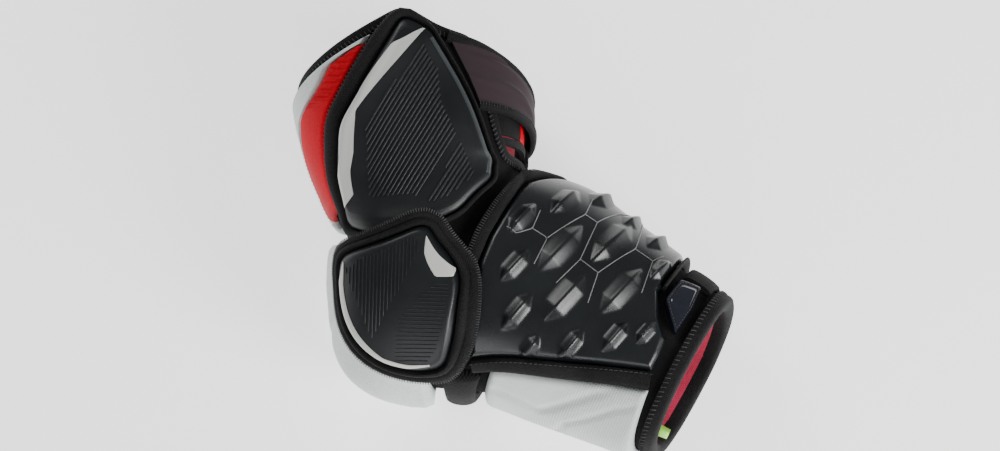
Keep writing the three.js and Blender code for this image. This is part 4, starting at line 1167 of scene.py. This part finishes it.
@dataclass
class ElbowWing:
    """The smaller shield at the elbow, which lies over the bicep shield's end and on the cap."""

    maker: Maker
    rib_pitch: float = 2.0
    rib_radius: float = 0.4

    def __post_init__(self) -> None:
        """Draws the outline and the plate."""
        seat, top = Layer.WING_SEAT.value, Layer.WING.value
        rise = top - seat
        self.edge = rounded(WING, 7.0, 2.5)
        self.plate = Plate(self.maker, self.edge, seat, (0.0, 0.78, 0.86, 0.91, 0.96, 1.0),
                           (top - 0.3, top - 0.1, top, top - 0.3, seat + rise * 0.72, seat + rise * 0.45))

    def build(self) -> None:
        """Builds the plate, its ribs and inlays, and the rolled and stitched binding."""
        maker, plate = self.maker, self.plate
        maker.dress(plate.made("elbow_wing"), Finishes.SHELL, "elbow_wing")
        lines = [line for corners, angle in WING_FIELDS for line in hatched(plate, corners, angle, self.rib_pitch)]
        maker.ridge("elbow_wing_ribs", lines, lambda spots: plate.height(spots) + 0.02, self.rib_radius,
                    Finishes.SHELL)
        self.build_inlays()
        self.build_binding()

    def build_inlays(self) -> None:
        """Builds the silver flash and the silver crescent."""
        maker, plate = self.maker, self.plate
        flash = Plate(maker, rounded(FLASH, 0.6, 1.2), Layer.WING.value - 0.5, (0.0, 0.94, 1.0), (0.55, 0.55, 0.35),
                      relief=plate.height)
        maker.dress(flash.made("wing_flash", rings=8), Finishes.FILM, "wing_flash")
        plate.inlay("wing_crescent", CRESCENT, 0.95, 6)

    def build_binding(self) -> None:
        """Builds the binding: an inner roll and a flat outer edge with overcast stitches."""
        maker = self.maker
        seat, high = Layer.WING_SEAT.value, Layer.WING_BINDING.value
        section = np.array([(0.0, seat + 2.4), (0.02, high - 0.6), (0.1, high + 0.7), (0.22, high + 1.0),
                            (0.34, high + 0.5), (0.4, high - 0.5), (0.45, high - 0.7), (0.55, high - 0.1),
                            (0.72, high), (0.88, high - 0.5), (0.97, high - 1.6), (1.0, high - 3.0),
                            (0.97, seat), (0.5, seat), (0.04, seat)])
        band = maker.bead("elbow_wing_binding", self.edge[:, :2], section, self.edge[:, 2], loop=True)
        maker.dress(band, Finishes.TAPE, "elbow_wing_binding")
        line = maker.arm.beside(self.edge[:, :2], 0.4 + self.edge[:, 2] * 0.9, loop=True)
        maker.seam("elbow_wing_stitches", line, high - 0.75, 1.45, 2.4, loop=True, radius=0.36)


CAP = table(
    (1.32, 163), (1.47, 137), (1.65, 106), (1.76, 106), (1.90, 128), (1.99, 146), (2.04, 170),
    (2.05, 200), (2.0, 222), (1.6, 228), (1.3, 218), (1.24, 190),
)


@dataclass
class ElbowCap:
    """The soft white cup over the elbow's point and the strap that runs below it."""

    maker: Maker
    height: float = 9.0
    bulge: float = 4.5
    strap_height: float = 9.0

    def relief(self, spots: np.ndarray) -> np.ndarray:
        """The cup's bulge, with one soft crease across it."""
        out = self.bulge * smooth((spots[..., 1] - 163.0) / 22.0)
        crease = np.exp(-(((spots[..., 0] - 1.60) * 100 - (spots[..., 1] - 175) * 0.25) / 2.2) ** 2)
        return out - 1.0 * crease * smooth((spots[..., 1] - 160) / 15)

    def build(self) -> None:
        """Builds the cup and the strap."""
        maker, high = self.maker, self.height
        plate = Plate(maker, rounded(CAP, 14.0), Layer.SEAT.value + 0.5, (0.0, 0.55, 0.8, 0.93, 1.0),
                      (0.0, 0.0, -0.5, -high * 0.17, -high * 0.45), relief=lambda s: self.relief(s) + high)
        maker.dress(plate.made("elbow_cap", rings=34), Finishes.CUP, "elbow_cap", fill=0.8)
        around = np.linspace(151.0, 238.0, 60)
        first = spot_list(2.075 + 0.015 * smooth((around - 151.0) / 30), around)
        second = spot_list(2.215, around)
        grid = ruled(first, second, 18)
        shape = np.sin(np.linspace(0.0, math.pi, 19)) ** 0.4
        ends = np.sin(np.linspace(0.0, math.pi, 60)) ** 0.12
        tall = Layer.SEAT.value + (self.strap_height - Layer.SEAT.value) * (0.4 + 0.6 * shape[:, None] * ends[None])
        piece = slab("elbow_strap", maker.arm.lift(grid, tall), maker.arm.lift(grid, 0.9), grid, sharp=60)
        maker.dress(piece, Finishes.TAPE, "elbow_strap", fill=0.4)


SIDE = table(
    (-0.12, 114, 205), (-0.05, 122, 205), (0.01, 130, 205), (0.13, 135, 206), (0.23, 142, 207), (0.37, 159, 208),
    (0.65, 174, 210), (0.81, 183, 212), (1.03, 183, 213), (1.13, 187, 214),
)


@dataclass
class UpperPanels:
    """The red panel beside the shield and the white panel round the back of the upper arm."""

    maker: Maker
    shield_edge: np.ndarray
    gap: float = 0.7
    triceps_top: float = -0.195

    def __post_init__(self) -> None:
        """Finds how far round the shield's binding reaches."""
        outer = self.maker.arm.beside(self.shield_edge[:, :2], 0.6 + self.shield_edge[:, 2], loop=True)
        rear = outer[outer[:, 1] > 92]
        order = np.argsort(rear[:, 0])
        self.limit = rear[order]

    def shield_left(self, along: np.ndarray) -> np.ndarray:
        """The around value just past the shield's binding."""
        return np.interp(along, self.limit[:, 0], self.limit[:, 1])

    def red_left(self, along: np.ndarray) -> np.ndarray:
        """The around value of the seam between the red and the white panel."""
        least = self.shield_left(along) + 0.5
        return np.where(along < SIDE[0, 0], least, np.maximum(read(SIDE, 1, along), least))

    def padded_grid(self, name: str, grid: np.ndarray, high: float, finish: Finish, node: str,
                    relief: Optional[np.ndarray] = None) -> None:
        """A padded panel over a grid of spots, rounded down at its edges."""
        arm = self.maker.arm
        points = arm.face(grid)
        across = np.linalg.norm(np.diff(points, axis=0), axis=-1)
        ahead = np.linalg.norm(np.diff(points, axis=1), axis=-1)
        rows = np.minimum(*both_ends(across, 0))
        columns = np.minimum(*both_ends(ahead, 1))
        inward = np.minimum(rows, columns)
        round_off = 1 - (1 - np.clip(inward / 3.2, 0.0, 1.0)) ** 2.4
        low = Layer.SEAT.value
        tall = low + (high - low) * (0.35 + 0.65 * np.clip(round_off, 0, 1))
        if relief is not None:
            tall = tall + relief * np.clip(inward / 6.0, 0.0, 1.0)
        top, under = arm.lift(grid, tall), arm.lift(grid, low)
        self.maker.dress(slab(name, top, under, grid, sharp=60), finish, node, fill=0.6)

    def build(self) -> None:
        """Builds both panels, the red one's ridges and the seam between them."""
        arm, high = self.maker.arm, Layer.SIDE_PANEL.value
        along = np.linspace(SIDE[0, 0], SIDE[-1, 0], 90)
        seam = self.red_left(along)
        right = spot_list(along, self.shield_left(along))
        red = ruled(right, spot_list(along, seam), 22)
        phase = red[..., 0] * 60 + 0.4 * red[..., 1]
        waves = 0.75 * np.sin(phase * 2 * math.pi / 4.2) * smooth((0.36 - red[..., 0]) / 0.08)
        self.padded_grid("side_panel", red, high, Finishes.RED, "side_panel", waves)
        stations = np.linspace(self.triceps_top, SIDE[-1, 0] + 0.04, 96)
        share = np.linspace(0.0, 1.0, 96)
        near = spot_list(stations, self.red_left(stations) + self.gap)
        rear = spot_list(stations, read(SIDE, 2, stations))
        grid = ruled(near, rear, 44)
        rim = follow(RIM, 1, grid[:, 0, 1]) + 8.2 / 60
        grid[..., 0] += (rim - grid[:, 0, 0])[:, None] * (1 - share[None]) ** 2
        fold = 1.4 * np.exp(-(((grid[..., 1] - 190) / 11 + (grid[..., 0] - 0.5) * 1.2) ** 2))
        self.padded_grid("triceps_panel", grid, high, Finishes.CUP, "triceps_panel", -fold)
        line = spot_list(along[4:], seam[4:] + self.gap + 1.6)
        self.maker.seam("side_panel_stitches", line, high - 0.3, 2.6, 1.7, turn=1.0, radius=0.22,
                        finish=Finishes.CUP)


def both_ends(gaps: np.ndarray, axis: int) -> tuple[np.ndarray, np.ndarray]:
    """The distances from both ends of a grid along an axis."""
    zero = np.zeros_like(np.take(gaps, [0], axis))
    ahead = np.concatenate([zero, np.cumsum(gaps, axis)], axis)
    total = np.take(ahead, [-1], axis)
    return ahead, total - ahead


GUARD = table(
    (2.20, -32, 2.76, -32), (2.17, -8, 2.75, -6), (2.13, 18, 2.74, 20), (2.05, 33, 2.74, 42),
    (1.97, 50, 2.73, 64), (1.955, 66, 2.79, 78), (1.965, 84, 2.86, 88), (2.03, 110, 2.87, 98),
    (2.15, 140, 2.87, 108),
)
BUMPS = table(
    (2.07, 68, 22, 11), (2.19, 48, 25, 12), (2.31, 28, 24, 13), (2.14, 92, 24, 11),
    (2.275, 73, 35, 15), (2.45, 54, 36, 15), (2.47, 27, 22, 12), (2.61, 30, 22, 12),
    (2.24, 111, 24, 11), (2.39, 94, 34, 15), (2.59, 76, 34, 14), (2.69, 52, 17, 10),
    (2.36, 124, 15, 9), (2.51, 114, 20, 10), (2.66, 100, 21, 10), (2.77, 90, 16, 8),
)
HEX_LINES = (
    ((2.03, 76), (2.08, 77), (2.13, 71), (2.12, 60)),
    ((2.13, 71), (2.205, 72), (2.21, 87)),
    ((2.205, 72), (2.29, 50), (2.28, 37)),
    ((2.29, 50), (2.35, 50), (2.37, 73), (2.33, 90)),
    ((2.35, 50), (2.41, 30), (2.44, 24)),
    ((2.37, 73), (2.465, 74), (2.49, 91)),
    ((2.465, 74), (2.55, 50), (2.51, 22)),
    ((2.55, 50), (2.64, 50), (2.67, 71)),
    ((2.64, 50), (2.67, 41)),
)


@dataclass
class ForearmGuard:
    """The moulded guard of the forearm with raised lozenges, and its bound edges."""

    maker: Maker
    bump_height: float = 4.2
    bump_lean: float = 14.0
    cells: int = 120
    columns: int = 190
    narrow: float = 4.0
    widening: float = 4.5
    widens_over: float = 40.0

    def __post_init__(self) -> None:
        """Draws the guard's two long edges."""
        self.elbow, self.wrist = between_rows(GUARD, self.columns)

    def bound_width(self, around: np.ndarray) -> np.ndarray:
        """How wide the elbow edge's binding is, which narrows towards the inner bend."""
        return self.narrow + self.widening * (1 - smooth((self.widens_over - around) / self.widens_over))

    def bumps(self, spots: np.ndarray) -> np.ndarray:
        """How far the raised lozenges stand over the sheet."""
        arm = self.maker.arm
        points = arm.face(spots)
        total = np.zeros(spots.shape[:-1])
        for along, around, long, wide in BUMPS:
            here = np.array([along, around])
            _, turn, out = arm.ways(here)
            lean = math.radians(-self.bump_lean)
            back = -unit(turn)
            across = back * math.cos(lean) + np.cross(out, back) * math.sin(lean)
            lengthwise = np.cross(across, out)
            away = points - arm.face(here)
            x, y = away @ across / (long / 2), away @ lengthwise / (wide / 2)
            level = away @ out
            taper = np.clip((1.08 - np.abs(x)) / 0.62, 0.02, 1.0)
            roof = np.clip(1.0 - np.sqrt(y * y + 0.008) / (1.05 * taper), 0.0, 1.0) * (np.abs(level) < 14)
            total = np.maximum(total, roof * (0.55 + 0.45 * roof) * taper**0.6 * (1.12 - 0.3 * x * x))
        return self.bump_height * total

    def build(self) -> None:
        """Builds the sheet, its thin lines and the bindings."""
        maker = self.maker
        grid = ruled(self.elbow, self.wrist, self.cells)
        points = maker.arm.face(grid)
        rows = np.minimum(*both_ends(np.linalg.norm(np.diff(points, axis=0), axis=-1), 0))
        columns = np.minimum(*both_ends(np.linalg.norm(np.diff(points, axis=1), axis=-1), 1))
        inward = np.minimum(rows, columns)
        high, low = Layer.GUARD.value, Layer.SEAT.value
        bevel = 1 - (1 - np.clip(inward / 4.0, 0.0, 1.0)) ** 2
        tall = low + (high - low) * (0.45 + 0.55 * bevel) + self.bumps(grid) * np.clip(inward / 3, 0, 1)
        piece = slab("forearm_guard", maker.arm.lift(grid, tall), maker.arm.lift(grid, low), grid, sharp=70)
        maker.dress(piece, Finishes.GUARD, "forearm_guard")
        lines = [maker.arm.even(np.array(corners, float), 2.0) for corners in HEX_LINES]
        maker.ridge("forearm_guard_lines", lines, lambda s: high + 0.12 + self.bumps(s), 0.3, Finishes.LINE)
        self.build_bindings()

    def build_bindings(self) -> None:
        """Builds the bound edge round the guard and the broad band below it."""
        maker = self.maker
        wide = self.bound_width(self.elbow[::-1, 1])
        far = ruled(self.elbow[:1], self.wrist[:1], 12)[1:-1, 0]
        rim = self.wrist[self.wrist[:, 1] < 60]
        line = np.concatenate([self.elbow[::-1], far, rim])
        widths = np.concatenate([wide, np.full(len(far), 4.0), np.full(len(rim), 2.2)])
        section = roll(Layer.SEAT.value, Layer.BINDING.value + 0.6)
        band = maker.bead("forearm_guard_binding", line, section, widths)
        maker.dress(band, Finishes.TAPE, "forearm_guard_binding")
        near = self.elbow[::-1][self.elbow[::-1, 1] > 0]
        edge = maker.arm.beside(near, 0.4 + 0.8 * self.bound_width(near[:, 1]))
        maker.seam("forearm_guard_stitches", edge, Layer.BINDING.value + 0.1, 1.6, 2.8, radius=0.3)
        shares = np.linspace(1.0, 0.0, 60)[:, None]
        lower = self.elbow[-1] * (1 - shares) + self.wrist[-1] * shares
        self.lower, self.lower_widths = lower, 8.0 + 2.0 * shares[:, 0]
        section = roll(Layer.SEAT.value, Layer.BINDING.value, power=4.0)
        band = maker.bead("ulna_band", lower, section, self.lower_widths)
        maker.dress(band, Finishes.TAPE, "ulna_band")
        line = maker.arm.beside(lower, 1.8)
        maker.seam("ulna_band_stitches", line, Layer.BINDING.value - 0.15, 2.8, 1.8, turn=1.0, radius=0.24)


CREASES = (
    table((2.93, 108), (2.69, 134), (2.50, 160), (2.22, 156)),
    table((2.98, 122), (2.80, 138), (2.62, 164), (2.60, 190)),
)


def away(spots: np.ndarray, line: np.ndarray) -> np.ndarray:
    """How far spots lie from a line in the flat chart, in millimetres."""
    points = spots * CHART
    least = np.full(spots.shape[:-1], np.inf)
    for a, b in zip(line[:-1] * CHART, line[1:] * CHART):
        share = np.clip(((points - a) @ (b - a)) / ((b - a) @ (b - a)), 0.0, 1.0)
        least = np.minimum(least, np.linalg.norm(points - a - share[..., None] * (b - a), axis=-1))
    return least


@dataclass
class UlnaPanel:
    """The white panel along the underside of the forearm."""

    maker: Maker
    upper_panels: UpperPanels
    guard: ForearmGuard
    far_edge: float = 232.0
    wrist_gap: float = 10.0
    start: float = 2.24

    def build(self) -> None:
        """Builds the panel with its two long creases."""
        arm = self.maker.arm
        side = arm.beside(self.guard.lower, 0.8 + self.guard.lower_widths)
        side = side[side[:, 0] > self.start]
        share = np.linspace(0.0, 1.0, len(side))
        end = arm.wrist_edge(np.array(self.far_edge)) - self.wrist_gap / arm.forearm_length
        far = spot_list(end + (self.start + 0.02 - end) * share, self.far_edge - 8.0 * share)
        grid = ruled(arm_resampled(side, 90), arm_resampled(far, 90), 60)
        around = grid[..., 1]
        first, second = (np.exp(-((away(grid, line) / wide) ** 2)) for line, wide in zip(CREASES, (2.4, 1.8)))
        puff = 1.2 * smooth((around - 140) / 25) * smooth((215 - around) / 25)
        relief = puff - 1.9 * first - 1.3 * second
        self.upper_panels.padded_grid("ulna_panel", grid, Layer.ULNA.value, Finishes.WHITE, "ulna_panel", relief)


def arm_resampled(line: np.ndarray, count: int) -> np.ndarray:
    """A line of spots with another number of spots."""
    at = np.linspace(0.0, 1.0, count)
    old = np.linspace(0.0, 1.0, len(line))
    return spot_list(np.interp(at, old, line[:, 0]), np.interp(at, old, line[:, 1]))


STRAP = table(
    (-0.10, 69, 0.56, 59), (0.01, 55, 0.60, 45), (0.19, 37, 0.65, 30), (0.34, 20, 0.70, 14),
    (0.42, 3, 0.74, -3), (0.46, -16, 0.76, -20), (0.48, -42, 0.76, -42),
)


@dataclass
class BicepStrap:
    """The strap over the slit of the upper arm, and the red inner strap below it."""

    maker: Maker
    thickness: float = 2.0
    hem_width: float = 5.0
    piping_width: float = 2.4

    def __post_init__(self) -> None:
        """Draws the strap's two edges."""
        self.upper, self.lower = between_rows(STRAP, 80)

    def wrinkles(self, grid: np.ndarray) -> np.ndarray:
        """Slack pleats that run across the strap at a slant."""
        along, around = grid[..., 0] * 60, grid[..., 1] * 1.05
        total = np.zeros(grid.shape[:-1])
        for centre, shift, depth, width in ((6.0, 52.0, 1.3, 1.7), (14.0, 45.0, 2.0, 2.0), (27.0, 36.0, 1.5, 1.6),
                                            (24.0, 52.0, 1.3, 1.6), (33.0, 28.0, 1.4, 2.0), (12.0, 22.0, 1.3, 2.4)):
            slope = (along - centre) + 0.42 * (around - shift)
            reach = np.exp(-(((around - shift) / 13.0) ** 2))
            total += depth * reach * np.exp(-((slope / width) ** 2))
        return total

    def build(self) -> None:
        """Builds the strap, its hem and piping, and the inner strap, whose near part is a black band of painted
        shade.
        """
        maker, arm = self.maker, self.maker.arm
        grid = ruled(self.upper, self.lower, 44)
        low = Layer.STRAP.value
        fold = self.wrinkles(grid)
        top = arm.lift(grid, low + self.thickness + fold)
        under = arm.lift(grid, low + np.maximum(fold - 0.2, 0.0))
        strap = maker.dress(slab("bicep_strap", top, under, grid, sharp=60), Finishes.STRAP, "bicep_strap")
        section = roll(low, low + self.thickness + 1.2)
        hem = maker.bead("bicep_strap_hem", self.lower, section, -self.hem_width, start=0.4)
        maker.dress(hem, Finishes.TAPE, "bicep_strap_hem")
        line = arm.beside(self.lower, 0.4 - self.hem_width * 0.2)
        maker.seam("bicep_strap_stitches", line, low + self.thickness + 0.9, 1.8, 2.2, radius=0.3)
        over = 4.6 * smooth(np.linspace(1.0, -0.6, len(self.upper)))
        piping = maker.bead("bicep_strap_piping", self.upper, roll(low, low + self.thickness + 0.9),
                            self.piping_width + over, start=0.4 - over)
        maker.dress(piping, Finishes.TAPE, "bicep_strap_piping")
        self.build_inner((0.62, 0.85), (0.44, 1.0), 2.0, "inner_strap", Finishes.RED, "inner_strap")
        # The near part of the inner strap is a band of black tape: painted shade where the bicep strap shadows the
        # red strap.
        self.build_inner((0.62, 0.85), (0.0, 0.43), 1.7, "inner_strap_painted_shade", Finishes.TAPE)
        self.build_inner((0.87, 0.94), (0.0, 1.0), 3.0, "inner_strap_hem", Finishes.TAPE, "inner_strap_hem")

    def build_inner(self, reach: tuple[float, float], across: tuple[float, float], thickness: float, name: str,
                    finish: Finish, *nodes: str) -> None:
        """Builds one band of the inner strap across the slit.

        Args:
            reach: where along the arm it starts and ends.
            across: its stretch of the way over the slit.
            thickness: its thickness in millimetres.
            name: the piece's name.
            finish: its finish.
            nodes: the solid that it stands for.
        """
        arm = self.maker.arm
        stations = np.linspace(*reach, 12)
        near = spot_list(stations, read(SLIT, 1, stations) - 0.4)
        far = spot_list(stations, read(SLIT, 2, stations) - 359.6)
        grid = ruled(near + (far - near) * across[0], near + (far - near) * across[1], 40)
        low = Layer.SLEEVE.value
        crown = 0.25 * np.sin(np.linspace(0.0, math.pi, 12))[None] ** 0.5 * np.ones((41, 1))
        top = arm.lift(grid, low + thickness - 0.25 + crown)
        band = slab(name, top, arm.lift(grid, low), grid)
        self.maker.dress(band, finish, *nodes)


TAB = table((2.77, 66), (2.785, 48), (2.88, 44), (2.895, 62), (2.885, 82), (2.87, 80))


@dataclass
class WristClosure:
    """The glossy patch at the guard's corner and the flat strap round to the far side."""

    maker: Maker
    tab_height: float = 7.0
    strap_height: float = 5.0
    wrist_gap: float = 11.0

    def build(self) -> None:
        """Builds both pieces and the patch's stitched edge."""
        maker, arm = self.maker, self.maker.arm
        edge = rounded(TAB, 1.5, 1.6)
        high = self.tab_height
        plate = Plate(maker, edge, Layer.SEAT.value, (0.0, 0.62, 0.68, 0.74, 0.94, 1.0),
                      (high, high, high - 0.5, high - 0.7, high - 0.8, high * 0.7))
        maker.dress(plate.made("wrist_tab", rings=14), Finishes.NAVY, "wrist_tab")
        ring = plate.centre + (edge[:, :2] - plate.centre) * 0.84
        maker.seam("wrist_tab_stitches", ring, high - 0.7, 1.9, 1.2, loop=True, turn=1.0, radius=0.22)
        around = np.linspace(41.0, -34.0, 70)
        end = arm.wrist_edge(around) - self.wrist_gap / arm.forearm_length
        grid = ruled(spot_list(2.795, around), spot_list(end, around), 16)
        shape = np.sin(np.linspace(0.0, math.pi, 17)) ** 0.35
        tall = Layer.SEAT.value + (self.strap_height - Layer.SEAT.value) * (0.5 + 0.5 * shape[:, None])
        strap = slab("wrist_strap", arm.lift(grid, tall * np.ones((1, 70))), arm.lift(grid, 0.9), grid)
        maker.dress(strap, Finishes.SLEEVE, "wrist_strap")


@dataclass
class Studio:
    """The pale floor, the soft lights and the camera at the photograph's angle."""

    elevation: float = 75.0
    distance: float = 1.9
    lens: float = 120.0
    target: tuple[float, float, float] = (0.00068, 0.00826, 0.06)
    shift: tuple[float, float] = (-0.014, -0.0080)

    def build(self) -> None:
        """Builds the set."""
        self.build_floor()
        self.build_lights()
        self.build_camera()

    def build_floor(self) -> None:
        """Lays a wide pale floor."""
        bpy.ops.mesh.primitive_plane_add(size=12.0, location=(0.0, 0.0, -0.0006))
        floor = bpy.context.object
        floor.name = "floor"
        material = bpy.data.materials.new("pale_floor")
        material.use_nodes = True
        shader = material.node_tree.nodes["Principled BSDF"]
        shader.inputs["Base Color"].default_value = (0.95, 0.95, 0.95, 1.0)
        shader.inputs["Roughness"].default_value = 0.9
        shader.inputs["Emission Color"].default_value = (1.0, 1.0, 1.0, 1.0)
        shader.inputs["Emission Strength"].default_value = 1.2
        floor.data.materials.append(material)

    def softbox(self, name: str, place: tuple[float, float, float], size: float, power: float) -> None:
        """Hangs a square soft light that faces the pad."""
        light = bpy.data.lights.new(name, "AREA")
        light.size, light.energy = size, power
        holder = bpy.data.objects.new(name, light)
        holder.location = place
        holder.rotation_euler = (Vector((0.0, 0.0, 0.05)) - Vector(place)).to_track_quat("-Z", "Y").to_euler()
        bpy.context.scene.collection.objects.link(holder)

    def build_lights(self) -> None:
        """Hangs the soft lights and a bright even surround."""
        self.softbox("left_light", (-1.0, 1.3, 1.4), 0.9, 16.0)
        self.softbox("right_light", (1.2, -0.9, 0.8), 0.8, 34.0)
        self.softbox("front_light", (-0.3, -1.5, 0.9), 0.9, 8.0)
        world = bpy.data.worlds.new("studio")
        world.use_nodes = True
        world.node_tree.nodes["Background"].inputs[0].default_value = (1.0, 1.0, 1.0, 1.0)
        world.node_tree.nodes["Background"].inputs[1].default_value = 0.32
        bpy.context.scene.world = world

    def build_camera(self) -> None:
        """Places the camera."""
        angle = math.radians(self.elevation)
        target = Vector(self.target)
        back = Vector((0.0, -math.cos(angle), math.sin(angle)))
        data = bpy.data.cameras.new("camera")
        data.lens, data.sensor_width = self.lens, 36.0
        data.shift_x, data.shift_y = self.shift
        camera = bpy.data.objects.new("camera", data)
        camera.location = target + back * self.distance
        camera.rotation_euler = (-back).to_track_quat("-Z", "Y").to_euler()
        bpy.context.scene.collection.objects.link(camera)
        bpy.context.scene.camera = camera


def placed_arm() -> Arm:
    """The arm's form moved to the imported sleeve's low corner.

    The grid ends short of the slanted wrist edge, so every piece lies about 3.7 mm towards -Y of its solid.
    """
    arm = Arm()
    low, _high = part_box("sleeve")
    along, around = np.meshgrid(np.linspace(0.1, 2.9, 141), np.linspace(60.0, 345.0, 286), indexing="ij")
    points = arm.face(spot_list(along, around))
    arm.shift = np.array([low.x / MM - points[..., 0].min(), low.y / MM - points[..., 1].min(), 0.0])
    LOG.info("shift %s", arm.shift)
    return arm


def main() -> None:
    """Builds the pad's pieces in order, then the studio."""
    logging.basicConfig(level=logging.INFO, format="%(message)s")
    maker = Maker(placed_arm(), StitchTree(), RibTree())
    shield = BicepShield(maker)
    guard = ForearmGuard(maker)
    panels = UpperPanels(maker, shield.edge)
    Sleeve(maker).build()
    shield.build()
    panels.build()
    BicepStrap(maker).build()
    ElbowCap(maker).build()
    ElbowWing(maker).build()
    guard.build()
    UlnaPanel(maker, panels, guard).build()
    WristClosure(maker).build()
    Studio().build()


if __name__ == "__main__":
    main()
